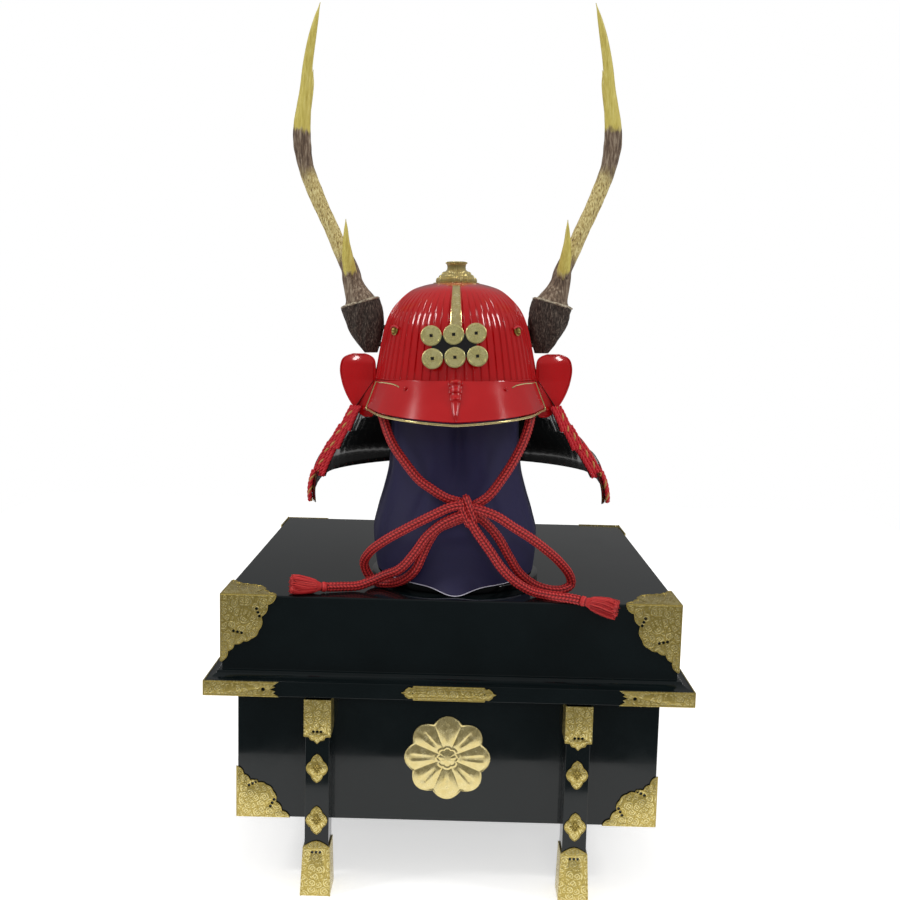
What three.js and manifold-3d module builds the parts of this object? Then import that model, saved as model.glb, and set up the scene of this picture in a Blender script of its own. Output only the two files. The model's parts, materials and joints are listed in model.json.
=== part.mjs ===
// Samurai helmet on a draped stand, on a footed lacquer chest. Millimetres, +Z up, the front faces -Y.
// The origin is on the floor under the middle of the chest.
import * as THREE from 'three';
import { mergeVertices } from 'three/addons/utils/BufferGeometryUtils.js';
import Module from 'manifold-3d';

const wasm = await Module();
wasm.setup();

// Fits
const fitGap = 0.3;
const helmetGap = 0.4;
const visorSeat = 0.8;

// Chest
const lidWidth = 560;
const lidDepth = 510;
const chestHeight = 372;
const lidDrop = 102;
const lipHeight = 19;
const lipReach = 17.3;
const lidWall = 14;
const lidBoard = 12;
const bodyInset = 16.5;
const bodyWall = 12;
const bodyClearance = 81;
const legWidth = 29.6;
const legDepth = 32;
const legSpacing = 319;
const legTopGap = 3;
const toeReach = 8;
const toeFlare = 2;
const toeHeight = 70;
const mouldingDrop = 9;
const lidRound = 1.5;

// Brass fittings
const brass = 1.4;
const capDrop = 46;
const capPoint = 9;
const shoeRise = 59;
const shoeArch = 8;
const lidCornerReach = 67;
const lidCornerDrop = 84;
const baseCornerReach = 66;
const baseCornerRise = 66;
const lipCornerReach = 90;
const lipStripLength = 114;
const lipStripInset = 1;
const rosetteRadius = 54;
const rosetteDrop = 207;
const rosetteThickness = 2;
const rosettePetals = 8;

// Where the stand is, and how far the helmet leans on it
const standX = 4;
const standY = -115;
const helmetLean = THREE.MathUtils.degToRad(1.1);

// Stand and cloth, heights from the top of the lid
const standRadius = 111;
const standPost = 22;
const standHead = 73;
const standFoot = 36;
const bowlSeat = 0.5;
const clothWall = 2;
const clothWidth = 220;
const clothDepthShare = 0.94;
const clothHemHeight = 14.6;
const clothFrontDrop = 5.5;
const clothTipHeight = 1.4;
const clothTipReach = 22;
const pleatDepth = 13;

// Helmet bowl, in the helmet's own frame, heights from the top of the lid
const rimHeight = 261.5;
const bowlWidth = 212.4;
const bowlHeight = 126.7;
const bowlLength = 1.1;
const bowlWall = 3;
const ridgeCount = 62;
const ridgeHeight = 1.4;

// Visor
const visorReach = 30;
const visorDrop = 42.4;
const visorPlate = 2.5;
const visorTopRise = 4.5;
const visorEndRise = 10;
const visorRimWidth = 3.6;
const visorEnd = THREE.MathUtils.degToRad(65);

// Neck guard
const guardReach = 195;
const guardDrop = 158.5;
const guardLift = 26;
const lamePlate = 2.5;
const lameLap = 6;
const lameGap = 0.9;

// Turned-back wings
const wingHeight = 73;
const wingWidth = 47;
const wingPlate = 3;
const wingSweep = 20;
const wingRise = 33;
const wingLap = 6;
const wingCurl = 5;

// Crown ornament, front strip and crest, whose height is over the bowl's rim
const crownHeight = 26;
const crownRadius = 27;
const crownBore = 9;
const stripWidth = 14;
const stripPlate = 1.2;
const stripTopDrop = 5.5;
const stripTuck = 2;
const coinRadius = 12.7;
const coinPitch = 27.3;
const coinRow = 28.3;
const coinHole = 4;
const coinPlate = 1.8;
const crestBoard = 2;
const crestHeight = 45.7;
const crestOffset = -1.9;
const crestStandoff = 1.05;
const crestTurn = THREE.MathUtils.degToRad(3.5);
const crestTilt = THREE.MathUtils.degToRad(-13);

// Antlers: their foot is over the bowl's rim
const antlerRise = 445;
const antlerSpread = 204;
const antlerGirth = 24;
const antlerFoot = 34.5;
const antlerBack = 15;
const antlerOval = 0.9;
const mountWidth = 18;
const mountHeight = 22;
const mountRise = 10;

// Cord
const cordDiameter = 12;
const cordSides = 8;
const knotWidth = 27;
const knotDepth = 25;
const knotHeight = 38;
const tasselRadius = 15;
const tasselLength = 46;

// Colours and finishes
const look = {
  lacquer: { color: 0x101a1c, roughness: 0.15, metalness: 0 },
  gold: { color: 0xc8b560, roughness: 0.35, metalness: 0.9 },
  red: { color: 0xc01018, roughness: 0.15, metalness: 0 },
  cloth: { color: 0x2b2a4a, roughness: 0.8, metalness: 0 },
  cord: { color: 0xd93a42, roughness: 0.7, metalness: 0 },
  antler: { color: 0x6b5a50, roughness: 0.75, metalness: 0 },
  black: { color: 0x121212, roughness: 0.3, metalness: 0 },
};

function piece(name, geometry, finish) {
  const mesh = new THREE.Mesh(geometry, new THREE.MeshStandardMaterial(look[finish]));
  mesh.name = name;
  return mesh;
}

// One closed body: shared corners merged, slivers dropped, faces turned outwards.
function closed(geometry) {
  const bare = geometry.clone();
  bare.deleteAttribute('normal');
  bare.deleteAttribute('uv');
  const merged = mergeVertices(bare, 1e-3);
  const index = merged.index.array;
  const place = merged.attributes.position;
  const corners = [0, 1, 2].map(() => new THREE.Vector3());
  const faces = [];
  let volume = 0;
  for (let i = 0; i < index.length; i += 3) {
    const [a, b, c] = [index[i], index[i + 1], index[i + 2]];
    if (a === b || b === c || a === c) continue;
    corners.forEach((corner, k) => corner.fromBufferAttribute(place, index[i + k]));
    volume += corners[0].dot(corners[1].clone().cross(corners[2]));
    faces.push(a, b, c);
  }
  if (volume < 0) faces.reverse();
  merged.setIndex(faces);
  merged.computeVertexNormals();
  return merged;
}

function toSolid(geometry) {
  const ready = closed(geometry);
  return new wasm.Manifold(new wasm.Mesh({
    numProp: 3,
    vertProperties: new Float32Array(ready.attributes.position.array),
    triVerts: new Uint32Array(ready.index.array),
  }));
}

function toGeometry(solid) {
  const mesh = solid.getMesh();
  const geometry = new THREE.BufferGeometry();
  geometry.setAttribute('position', new THREE.BufferAttribute(new Float32Array(mesh.vertProperties), 3));
  geometry.setIndex(new THREE.BufferAttribute(new Uint32Array(mesh.triVerts), 1));
  geometry.computeVertexNormals();
  return geometry;
}

function joined(...geometries) {
  return toGeometry(geometries.map(toSolid).reduce((sum, next) => sum.add(next)));
}

function cutFrom(geometry, ...tools) {
  return toGeometry(tools.map(toSolid).reduce((rest, tool) => rest.subtract(tool), toSolid(geometry)));
}

function box(width, depth, height, x, y, z) {
  return new THREE.BoxGeometry(width, depth, height).translate(x, y, z);
}

// A sheet with thickness: outer(u, v) and inner(u, v) give its two faces, u across and v down, both 0 to 1.
function sheet({ columns, rows, wrap = false, outer, inner }) {
  const positions = [];
  const index = [];
  const across = wrap ? columns : columns + 1;
  [outer, inner].forEach((face) => {
    for (let j = 0; j <= rows; j += 1) {
      for (let i = 0; i < across; i += 1) {
        const point = face(i / columns, j / rows);
        positions.push(point.x, point.y, point.z);
      }
    }
  });
  const side = across * (rows + 1);
  const at = (face, i, j) => face * side + j * across + (i % across);
  const quad = (a, b, c, d) => index.push(a, b, c, a, c, d);
  for (let j = 0; j < rows; j += 1) {
    for (let i = 0; i < columns; i += 1) {
      quad(at(0, i, j), at(0, i, j + 1), at(0, i + 1, j + 1), at(0, i + 1, j));
      quad(at(1, i, j), at(1, i + 1, j), at(1, i + 1, j + 1), at(1, i, j + 1));
    }
  }
  for (let i = 0; i < columns; i += 1) {
    quad(at(0, i, 0), at(0, i + 1, 0), at(1, i + 1, 0), at(1, i, 0));
    quad(at(0, i, rows), at(1, i, rows), at(1, i + 1, rows), at(0, i + 1, rows));
  }
  for (let j = 0; j < rows && !wrap; j += 1) {
    quad(at(0, 0, j), at(1, 0, j), at(1, 0, j + 1), at(0, 0, j + 1));
    quad(at(0, columns, j), at(0, columns, j + 1), at(1, columns, j + 1), at(1, columns, j));
  }
  const geometry = new THREE.BufferGeometry();
  geometry.setAttribute('position', new THREE.Float32BufferAttribute(positions, 3));
  geometry.setIndex(index);
  return closed(geometry);
}

// A solid stacked from closed outlines of equal length, with a fan over each end.
function stack(outlines) {
  const count = outlines[0].length;
  const positions = outlines.flat().flatMap((point) => [point.x, point.y, point.z]);
  const index = [];
  for (let j = 0; j + 1 < outlines.length; j += 1) {
    for (let i = 0; i < count; i += 1) {
      const [a, b] = [j * count + i, j * count + ((i + 1) % count)];
      index.push(a, b, b + count, a, b + count, a + count);
    }
  }
  [0, outlines.length - 1].forEach((row, end) => {
    const centre = positions.length / 3;
    const middle = outlines[row].reduce((sum, point) => sum.add(point), new THREE.Vector3());
    middle.divideScalar(count);
    positions.push(middle.x, middle.y, middle.z);
    for (let i = 0; i < count; i += 1) {
      const [a, b] = [row * count + i, row * count + ((i + 1) % count)];
      index.push(...(end ? [a, b, centre] : [b, a, centre]));
    }
  });
  const geometry = new THREE.BufferGeometry();
  geometry.setAttribute('position', new THREE.Float32BufferAttribute(positions, 3));
  geometry.setIndex(index);
  return closed(geometry);
}

function turned(profile, segments) {
  const points = profile.map(([radius, height]) => new THREE.Vector2(radius, height));
  return closed(new THREE.LatheGeometry(points, segments).rotateX(Math.PI / 2));
}

// A flat plate from an outline given as [across, up] pairs, lying in the XZ plane, its back at y = 0.
function plate(outline, thickness) {
  const shape = new THREE.Shape(outline.map(([x, z]) => new THREE.Vector2(x, z)));
  const flat = new THREE.ExtrudeGeometry(shape, { depth: thickness, bevelEnabled: false });
  return flat.rotateX(Math.PI / 2);
}

// Reads a table of {at, ...} rows at any place between its first and last row.
function readTable(rows, at, column) {
  const next = rows.findIndex((row) => row.at >= at);
  if (next <= 0) return rows[next === 0 ? 0 : rows.length - 1][column];
  const [low, high] = [rows[next - 1], rows[next]];
  return THREE.MathUtils.mapLinear(at, low.at, high.at, low[column], high[column]);
}

// Chest
const bodyWidth = lidWidth - 2 * bodyInset;
const bodyDepth = lidDepth - 2 * bodyInset;
const bodyTop = chestHeight - lidBoard - fitGap;
const lipTop = chestHeight - lidDrop;
const lipBottom = lipTop - lipHeight;
const legTop = lipBottom - legTopGap;

function chestBody() {
  const height = bodyTop - bodyClearance;
  const outside = box(bodyWidth, bodyDepth, height, 0, 0, bodyClearance + height / 2);
  const hollow = box(bodyWidth - 2 * bodyWall, bodyDepth - 2 * bodyWall, height,
    0, 0, bodyClearance + bodyWall + height / 2);
  return cutFrom(outside, hollow);
}

// The moulding under the lid: out and down are shares of the lip's reach and of the moulding's drop.
const moulding = [
  { out: 0, down: 0 }, { out: 0.25, down: 0.05 }, { out: 0.32, down: 0.4 },
  { out: 0.6, down: 0.75 }, { out: 1, down: 1 },
];

function lidOutline(grow, height) {
  const [x, y] = [lidWidth / 2 + grow, lidDepth / 2 + grow];
  return [[-x, -y], [x, -y], [x, y], [-x, y]].map(([px, py]) => new THREE.Vector3(px, py, height));
}

function chestLid() {
  const outlines = [lidOutline(lipReach, lipBottom)];
  [...moulding].reverse().forEach(({ out, down }) => {
    outlines.push(lidOutline(lipReach * out, lipTop + mouldingDrop * (1 - down)));
  });
  outlines.push(lidOutline(0, chestHeight - lidRound));
  outlines.push(lidOutline(-lidRound, chestHeight));
  const hollowHeight = chestHeight - lidBoard - lipBottom + lipHeight;
  const hollow = box(lidWidth - 2 * lidWall, lidDepth - 2 * lidWall, hollowHeight,
    0, 0, chestHeight - lidBoard - hollowHeight / 2);
  return cutFrom(stack(outlines), hollow);
}

// The leg widens to the toe: at is a share of the toe's height, out of its reach and of its flare.
const toeCurve = [{ at: 0, out: 1 }, { at: 0.4, out: 0.45 }, { at: 1, out: 0 }];
const toeOut = (height) => readTable(toeCurve, height / toeHeight, 'out');

// A leg's section at a height, grown by a margin, seen from above: front left, front right, back right, back left.
function legSection(height, margin) {
  const half = legWidth / 2 + margin + toeFlare * toeOut(height);
  const front = -(legDepth + toeReach * toeOut(height) + margin);
  return [[-half, front], [half, front], [half, 0], [-half, 0]];
}

function leg() {
  const heights = toeCurve.map(({ at }) => at * toeHeight).concat(legTop);
  return stack(heights.map((height) => legSection(height, 0)
    .map(([x, y]) => new THREE.Vector3(x, y, height))));
}

// Runs along the left side, the front and the right side of a leg's section; u from 0 to 1.
function roundLeg(u, height, margin) {
  const [left, right, rightBack, leftBack] = legSection(height, margin);
  const [from, to, share] = u < 0.25 ? [leftBack, left, u / 0.25]
    : u <= 0.75 ? [left, right, (u - 0.25) / 0.5] : [right, rightBack, (u - 0.75) / 0.25];
  return new THREE.Vector3(from[0] + (to[0] - from[0]) * share, from[1] + (to[1] - from[1]) * share, height);
}

// A brass wrap round a leg, between the two or three heights that a place round it gives.
function legWrap(heightsAt) {
  const rows = heightsAt(0).length - 1;
  const faceAt = (margin) => (u, v) => roundLeg(u, heightsAt(u)[Math.round(v * rows)], margin);
  return sheet({ columns: 12, rows, outer: faceAt(fitGap + brass), inner: faceAt(fitGap) });
}

const frontShare = (u) => Math.max(0, 1 - Math.abs(u - 0.5) / 0.25);
const arch = (u) => Math.sin(Math.PI / 2 * frontShare(u));
const legCap = () => legWrap((u) => [legTop - capDrop - capPoint * frontShare(u), legTop]);
const legShoe = () => legWrap((u) => [shoeRise + shoeArch * arch(u), toeHeight * toeCurve[1].at, 0]);

// Corner plates: along and away are shares of the plate's reach on its two edges.
const cornerScallops = [
  { along: 1, away: 0 }, { along: 0.88, away: 0.12 }, { along: 0.74, away: 0.32 }, { along: 0.68, away: 0.52 },
  { along: 0.58, away: 0.6 }, { along: 0.45, away: 0.66 }, { along: 0.32, away: 0.72 }, { along: 0.16, away: 0.78 },
  { along: 0, away: 1 },
];

function cornerOutline(reach, rise) {
  return [[0, 0], ...cornerScallops.map(({ along, away }) => [reach * along, rise * away])];
}

// A corner fitting of the lid's front left corner: a front, a side and a top plate in one.
function lidCorner() {
  const edge = fitGap + brass;
  const grown = cornerOutline(lidCornerReach, lidCornerDrop);
  const front = plate(grown.map(([x, z]) => [x, -z]), brass).translate(-edge, -fitGap, edge);
  const side = plate(grown.map(([x, z]) => [x, -z]), brass).rotateZ(Math.PI / 2)
    .translate(-edge, -edge, edge);
  const top = plate(cornerOutline(lidCornerReach, lidCornerReach), brass).rotateX(-Math.PI / 2)
    .translate(-edge, -edge, fitGap);
  return joined(front, side, top);
}

function baseCorner() {
  const edge = fitGap + brass;
  const outline = cornerOutline(baseCornerReach, baseCornerRise);
  const front = plate(outline, brass).translate(-edge, -fitGap, 0);
  const side = plate(outline, brass).rotateZ(Math.PI / 2).translate(-edge, -edge, 0);
  return joined(front, side);
}

function lipCorner() {
  const edge = fitGap + brass;
  const [length, height, notch] = [lipCornerReach, lipHeight, lipHeight / 2];
  const outline = [[0, 0], [length, 0], [length - notch, height / 2], [length, height], [0, height]];
  const front = plate(outline, brass).translate(-edge, -fitGap, 0);
  const side = plate(outline, brass).rotateZ(Math.PI / 2).translate(-edge, -edge, 0);
  return joined(front, side);
}

function lipCentreStrip() {
  const [half, height] = [lipStripLength / 2, lipHeight - 2 * lipStripInset];
  const nose = height / 2;
  const upper = [
    [-half, nose], [-half + nose / 2, height * 0.8], [-half + nose, height * 0.7], [-half + nose * 1.3, height],
  ];
  const over = [...upper, ...upper.map(([x, z]) => [-x, z]).reverse()];
  const under = over.slice(1, -1).map(([x, z]) => [x, height - z]).reverse();
  return plate([...over, ...under], brass);
}

// The rosette's rim dips between its round lobes by this share of its radius.
const petalDent = 0.14;

function frontRosette() {
  const steps = rosettePetals * 4;
  const outline = Array.from({ length: steps }, (_, i) => {
    const angle = (i / steps) * 2 * Math.PI;
    const lobe = Math.abs(Math.cos((rosettePetals * angle) / 2));
    const radius = rosetteRadius * (1 - petalDent * (1 - lobe));
    return [radius * Math.cos(angle), radius * Math.sin(angle)];
  });
  return plate(outline, rosetteThickness);
}

// The stand's post and the cloth lean with the helmet, while the base stays flat.
const leaning = (point) => point.setX(point.x - Math.tan(helmetLean) * Math.max(0, point.z));

// The stand's foot: at is a share of the foot's height and radius of the stand's radius.
const footProfile = [
  { at: 0.083, radius: 1 }, { at: 0.208, radius: 1 }, { at: 0.292, radius: 0.965 }, { at: 0.356, radius: 0.88 },
  { at: 0.417, radius: 0.7 }, { at: 0.611, radius: 0.4 },
];
// The stand's head: at is a share of the stand's height and radius of the head's radius.
const headProfile = [
  { at: 0.67, radius: 0.5 }, { at: 0.72, radius: 0.88 }, { at: 0.79, radius: 1 }, { at: 0.86, radius: 0.97 },
  { at: 0.925, radius: 0.83 }, { at: 0.97, radius: 0.57 }, { at: 0.99, radius: 0.28 }, { at: 1, radius: 0 },
];
const headNeck = 0.63;
// The draped head carries the bowl, so its height comes from the bowl's inside.
const standHeight = rimHeight + bowlHeight - bowlWall - bowlSeat - clothWall - fitGap;

function displayStand() {
  const upright = turned([
    [0, fitGap], [standRadius * 0.98, fitGap],
    ...footProfile.map(({ at, radius }) => [standRadius * radius, standFoot * at]),
    [standPost, standFoot], [standPost, standHeight * headNeck],
    ...headProfile.map(({ at, radius }) => [standHead * radius, standHeight * at]),
  ], 16);
  const place = upright.attributes.position;
  for (let i = 0; i < place.count; i += 1) {
    const point = leaning(new THREE.Vector3().fromBufferAttribute(place, i));
    place.setX(i, point.x);
  }
  return upright;
}

// Cloth: at is a share of the height from the hem to the top, and width a share of half the cloth's width.
const clothTop = standHeight + fitGap + clothWall;
const clothSections = [
  { at: 0, width: 0.945 }, { at: 0.07, width: 0.985 }, { at: 0.13, width: 1 }, { at: 0.2, width: 0.955 },
  { at: 0.28, width: 0.88 }, { at: 0.36, width: 0.82 }, { at: 0.5, width: 0.785 }, { at: 0.7, width: 0.77 },
  { at: 0.8, width: 0.765 }, { at: 0.88, width: 0.73 }, { at: 0.94, width: 0.6 }, { at: 0.98, width: 0.37 },
  { at: 1, width: 0 },
];
// Folds: turn in degrees from the front towards the right, spread in degrees, depth as a share of the
// pleat's depth, low and high as shares of the cloth's height.
const clothFolds = [
  { turn: 3, spread: 9, depth: 1, low: 0.22, high: 0.8 },
  { turn: -38, spread: 14, depth: 0.35, low: 0.1, high: 0.6 },
  { turn: 44, spread: 14, depth: 0.35, low: 0.1, high: 0.6 },
  { turn: -78, spread: 12, depth: 0.3, low: 0.05, high: 0.7 },
  { turn: 84, spread: 12, depth: 0.3, low: 0.05, high: 0.7 },
  { turn: -125, spread: 13, depth: 0.45, low: 0.05, high: 0.7 },
  { turn: 128, spread: 13, depth: 0.45, low: 0.05, high: 0.7 },
  { turn: 176, spread: 12, depth: 0.8, low: 0.1, high: 0.75 },
];

// Shares of the cloth's height where the hem's flare ends, the plan stops being round and the top closes in.
const clothShares = { flare: 0.12, round: 0.2, top: 0.9 };
// How many degrees the hem's pointed tip and its lowered front spread over.
const hemSpread = { tip: 11, front: 55 };

const wrapTurn = (turn) => turn - 360 * Math.round(turn / 360);
const bell = (distance) => Math.exp(-distance * distance);

function clothPoint(turn, at, inset) {
  const tip = bell(wrapTurn(turn) / hemSpread.tip);
  const front = bell(wrapTurn(turn) / hemSpread.front);
  const hem = clothHemHeight - clothFrontDrop * front - (clothHemHeight - clothFrontDrop - clothTipHeight) * tip;
  const height = hem + (clothTop - hem) * at;
  const flare = Math.max(0, 1 - at / clothShares.flare) ** 1.5;
  const reach = flare * clothTipReach * (front + tip) / 2;
  const fold = clothFolds.reduce((sum, row) => {
    const middle = (row.low + row.high) / 2;
    const inSpan = bell((at - middle) / ((row.high - row.low) / 2)) ** 1.5;
    return sum + row.depth * bell(wrapTurn(turn - row.turn) / row.spread) * inSpan;
  }, 0);
  const width = readTable(clothSections, at, 'width') * (clothWidth / 2);
  const radius = Math.max(0, width - pleatDepth * fold * Math.min(1, 3 * (1 - at))) + reach;
  const out = Math.max(0, radius - inset * Math.min(1, 12 * (1 - at)));
  const angle = THREE.MathUtils.degToRad(turn);
  const depth = THREE.MathUtils.lerp(1, clothDepthShare, Math.min(1, at / clothShares.round));
  const drop = inset * Math.max(0, (at - clothShares.top) / (1 - clothShares.top));
  return leaning(new THREE.Vector3(out * Math.sin(angle), -out * Math.cos(angle) * depth, height - drop));
}

function standCloth() {
  const rows = clothSections.length - 1;
  const faceAt = (inset) => (u, v) => {
    const at = clothSections[rows - Math.round(v * rows)].at;
    return clothPoint(u * 360, at, inset);
  };
  return sheet({ columns: 30, rows, wrap: true, outer: faceAt(0), inner: faceAt(clothWall) });
}

// Bowl: at is a share of the bowl's height and radius a share of half its width.
const bowlSections = [
  { at: 0, radius: 1 }, { at: 0.4, radius: 0.908 }, { at: 0.66, radius: 0.818 }, { at: 0.82, radius: 0.685 },
  { at: 0.92, radius: 0.536 }, { at: 0.975, radius: 0.34 }, { at: 1, radius: 0 },
];
const bowlTop = rimHeight + bowlHeight;
const bowlRadius = (at) => (bowlWidth / 2) * readTable(bowlSections, at, 'radius');
const bowlShareAt = (height) => (height - rimHeight) / bowlHeight;

// A place on the helmet's round plan: turn in radians from the front towards the right.
function onHelmet(turn, radius, height) {
  return new THREE.Vector3(radius * Math.sin(turn), -bowlLength * radius * Math.cos(turn), height);
}

function dome(columns, ridge, wall, floor) {
  const rows = bowlSections.map(({ at }) => at).reverse();
  const positions = [];
  const index = [];
  rows.forEach((at) => {
    for (let i = 0; i < columns; i += 1) {
      const raised = i % 2 === 0 ? ridge * Math.min(1, 4 * (1 - at)) : 0;
      const radius = Math.max(0, bowlRadius(at) + raised - (at < 1 ? wall : 0));
      const height = at === 0 ? floor : rimHeight + bowlHeight * at - wall * at;
      const point = onHelmet((2 * Math.PI * i) / columns, radius, height);
      positions.push(point.x, point.y, point.z);
    }
  });
  const last = rows.length - 1;
  for (let j = 0; j < last; j += 1) {
    for (let i = 0; i < columns; i += 1) {
      const [a, b] = [j * columns + i, j * columns + ((i + 1) % columns)];
      index.push(a, a + columns, b + columns, a, b + columns, b);
    }
  }
  const middle = positions.length / 3;
  positions.push(0, 0, floor);
  for (let i = 0; i < columns; i += 1) {
    index.push(last * columns + i, middle, last * columns + ((i + 1) % columns));
  }
  const geometry = new THREE.BufferGeometry();
  geometry.setAttribute('position', new THREE.Float32BufferAttribute(positions, 3));
  geometry.setIndex(index);
  return closed(geometry);
}

const helmetBowl = () => cutFrom(dome(2 * ridgeCount, ridgeHeight, 0, rimHeight),
  dome(24, 0, bowlWall, rimHeight - bowlWall));

// Visor: the top edge follows the bowl, the lower edge stands out by its reach. crease is where the two
// end flats start, spread how much further round the lower edge goes, fade how fast its reach falls off to
// the sides, and pitch how far the plate's outer face looks up.
const visorShape = { crease: 0.72, spread: 1.04, fade: 0.79, pitch: 0.55, rise: 1.1 };
const visorTopRadius = bowlWidth / 2 + ridgeHeight + visorSeat + visorPlate;

function visorEdge(side, low) {
  const angle = side * visorEnd;
  if (!low) return onHelmet(angle, visorTopRadius, rimHeight + visorTopRise * Math.cos(angle) ** 2);
  const reach = visorReach * Math.cos(angle * visorShape.fade) ** 2;
  const point = onHelmet(angle * visorShape.spread, visorTopRadius + reach, 0);
  const rise = visorEndRise * Math.abs(side) ** visorShape.rise;
  return point.setZ(rimHeight - visorDrop + rise);
}

// side runs from -1 at the left end to 1 at the right end; beyond each crease the lower edge is straight.
function visorPoint(side, down, inset) {
  const flat = Math.abs(side) > visorShape.crease;
  const ends = [visorShape.crease, 1].map((end) => end * Math.sign(side));
  const share = flat ? (Math.abs(side) - visorShape.crease) / (1 - visorShape.crease) : 0;
  const lower = flat ? visorEdge(ends[0], true).lerp(visorEdge(ends[1], true), share) : visorEdge(side, true);
  const point = visorEdge(side, false).lerp(lower, down);
  const turn = Math.atan2(point.x, -point.y / bowlLength);
  const normal = new THREE.Vector3(Math.sin(turn), -Math.cos(turn), visorShape.pitch).normalize();
  return point.addScaledVector(normal, -inset);
}

const visorSides = [-1, -0.86, -0.72, -0.58, -0.44, -0.29, -0.14, 0, 0.14, 0.29, 0.44, 0.58, 0.72, 0.86, 1];
const visorSideAt = (u) => visorSides[Math.round(u * (visorSides.length - 1))];

function visor() {
  const faceAt = (inset) => (u, v) => visorPoint(visorSideAt(u), v, inset);
  return sheet({ columns: visorSides.length - 1, rows: 2, outer: faceAt(0), inner: faceAt(visorPlate) });
}

// A tube along a list of points, as an extruded section.
function tube(points, diameter, sides, steps) {
  const section = new THREE.Shape(Array.from({ length: sides }, (_, i) => {
    const angle = (2 * Math.PI * i) / sides;
    return new THREE.Vector2((diameter / 2) * Math.cos(angle), (diameter / 2) * Math.sin(angle));
  }));
  const path = new THREE.CatmullRomCurve3(points, false, 'centripetal');
  return closed(new THREE.ExtrudeGeometry(section, { steps, bevelEnabled: false, extrudePath: path }));
}

// The rim runs up the left side, along the lower edge and up the right side of the visor.
function visorRim() {
  const outside = visorRimWidth / 2 + fitGap + visorPlate / 4;
  const middle = visorPlate / 2;
  const along = visorSides.map((side) => visorPoint(side, 1 + (outside + fitGap) / visorDrop, middle));
  const sideways = (side, down, away) => {
    const [end, near] = [side, 0.9 * side].map((place) => visorPoint(place, down, middle));
    return end.clone().addScaledVector(end.clone().sub(near).normalize(), away);
  };
  const round = 1.5 * outside;
  const upSide = (side) => [...[0.1, 0.4, 0.7].map((down) => sideways(side, down, outside)),
    sideways(side, 0.92, round), sideways(side, 1 + round / visorDrop, round)];
  const path = [...upSide(-1), ...along.slice(1, -1), ...upSide(1).reverse()];
  return tube(path, visorRimWidth, 6, 32);
}

// The socket for the crest's prong, down the middle of the visor: at is a share of the visor's fall.
const socketSections = [
  { at: 0.02, width: 14, proud: 8 }, { at: 0.2, width: 13, proud: 9 }, { at: 0.26, width: 10, proud: 5 },
  { at: 0.5, width: 9, proud: 4 }, { at: 0.9, width: 3, proud: 1.2 },
];

function crestSocket() {
  const rows = socketSections.length - 1;
  const faceAt = (outer) => (u, v) => {
    const row = socketSections[Math.round(v * rows)];
    const across = (2 * u - 1) * (row.width / 2);
    const point = visorPoint(0, row.at, 0);
    const lift = helmetGap + (outer ? row.proud * Math.sqrt(1 - (2 * u - 1) ** 2 * 0.9) : 0);
    return point.add(new THREE.Vector3(across, -lift, lift * 0.5));
  };
  return sheet({ columns: 6, rows, outer: faceAt(true), inner: faceAt(false) });
}

// Neck guard: low and reach are shares of the guard's drop and of its flare at each lame's lower edge,
// lift the share of the guard's lift behind its front corners, swell how far the lame bulges, sway how far
// its lower edge hangs to the right, and end the turn in degrees from the back at which it stops.
const lames = [
  { name: 'top_lame', low: 0.245, reach: 0.314, lift: 0, swell: 0.6, sway: 0, end: 103 },
  { name: 'lame_2', low: 0.405, reach: 0.467, lift: 0.2, swell: 1, sway: 0, end: 102 },
  { name: 'lame_3', low: 0.555, reach: 0.651, lift: 0.4, swell: 1, sway: 0, end: 100 },
  { name: 'lame_4', low: 0.785, reach: 0.925, lift: 0.85, swell: 1.2, sway: 3.2, end: 97 },
  { name: 'lame_5', low: 1, reach: 1, lift: 1, swell: 2.5, sway: 4.5, end: 97 },
];
const guardTopRadius = bowlWidth / 2 + ridgeHeight + helmetGap + lamePlate;
const guardFlare = guardReach - guardTopRadius;
const guardCorner = { start: 65, end: 96 };

function lameEdge(index, low) {
  const row = lames[index];
  if (low) {
    return { radius: guardTopRadius + guardFlare * row.reach, height: rimHeight - guardDrop * row.low,
      lift: guardLift * row.lift, sway: row.sway };
  }
  if (index === 0) return { radius: guardTopRadius, height: rimHeight, lift: 0, sway: 0 };
  const [above, aboveTop] = [lameEdge(index - 1, true), lameEdge(index - 1, false)];
  const share = lameLap / (aboveTop.height - above.height);
  const radius = THREE.MathUtils.lerp(above.radius, aboveTop.radius, share) + lamePlate + lameGap;
  return { radius: radius + lames[index - 1].swell * 4 * share, height: above.height + lameLap,
    lift: above.lift, sway: THREE.MathUtils.lerp(above.sway, aboveTop.sway, share) };
}

// turn in degrees from the back, positive towards the right.
function lamePoint(index, turn, down, inset) {
  const [top, low] = [lameEdge(index, false), lameEdge(index, true)];
  const swell = lames[index].swell * 4 * down * (1 - down);
  const radius = THREE.MathUtils.lerp(top.radius, low.radius, down) + swell - inset;
  const corner = (Math.abs(turn) - guardCorner.start) / (guardCorner.end - guardCorner.start);
  const lifted = 1 - THREE.MathUtils.clamp(corner, 0, 1) ** 2;
  const height = THREE.MathUtils.lerp(top.height + top.lift * lifted, low.height + low.lift * lifted, down);
  const point = onHelmet(Math.PI - THREE.MathUtils.degToRad(turn), radius, height);
  return point.setX(point.x + THREE.MathUtils.lerp(top.sway, low.sway, down));
}

function lame(index) {
  const faceAt = (inset) => (u, v) => lamePoint(index, lames[index].end * (2 * u - 1), v, inset);
  const rows = index === lames.length - 1 ? 3 : 2;
  return sheet({ columns: 20, rows, outer: faceAt(0), inner: faceAt(lamePlate) });
}

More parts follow.
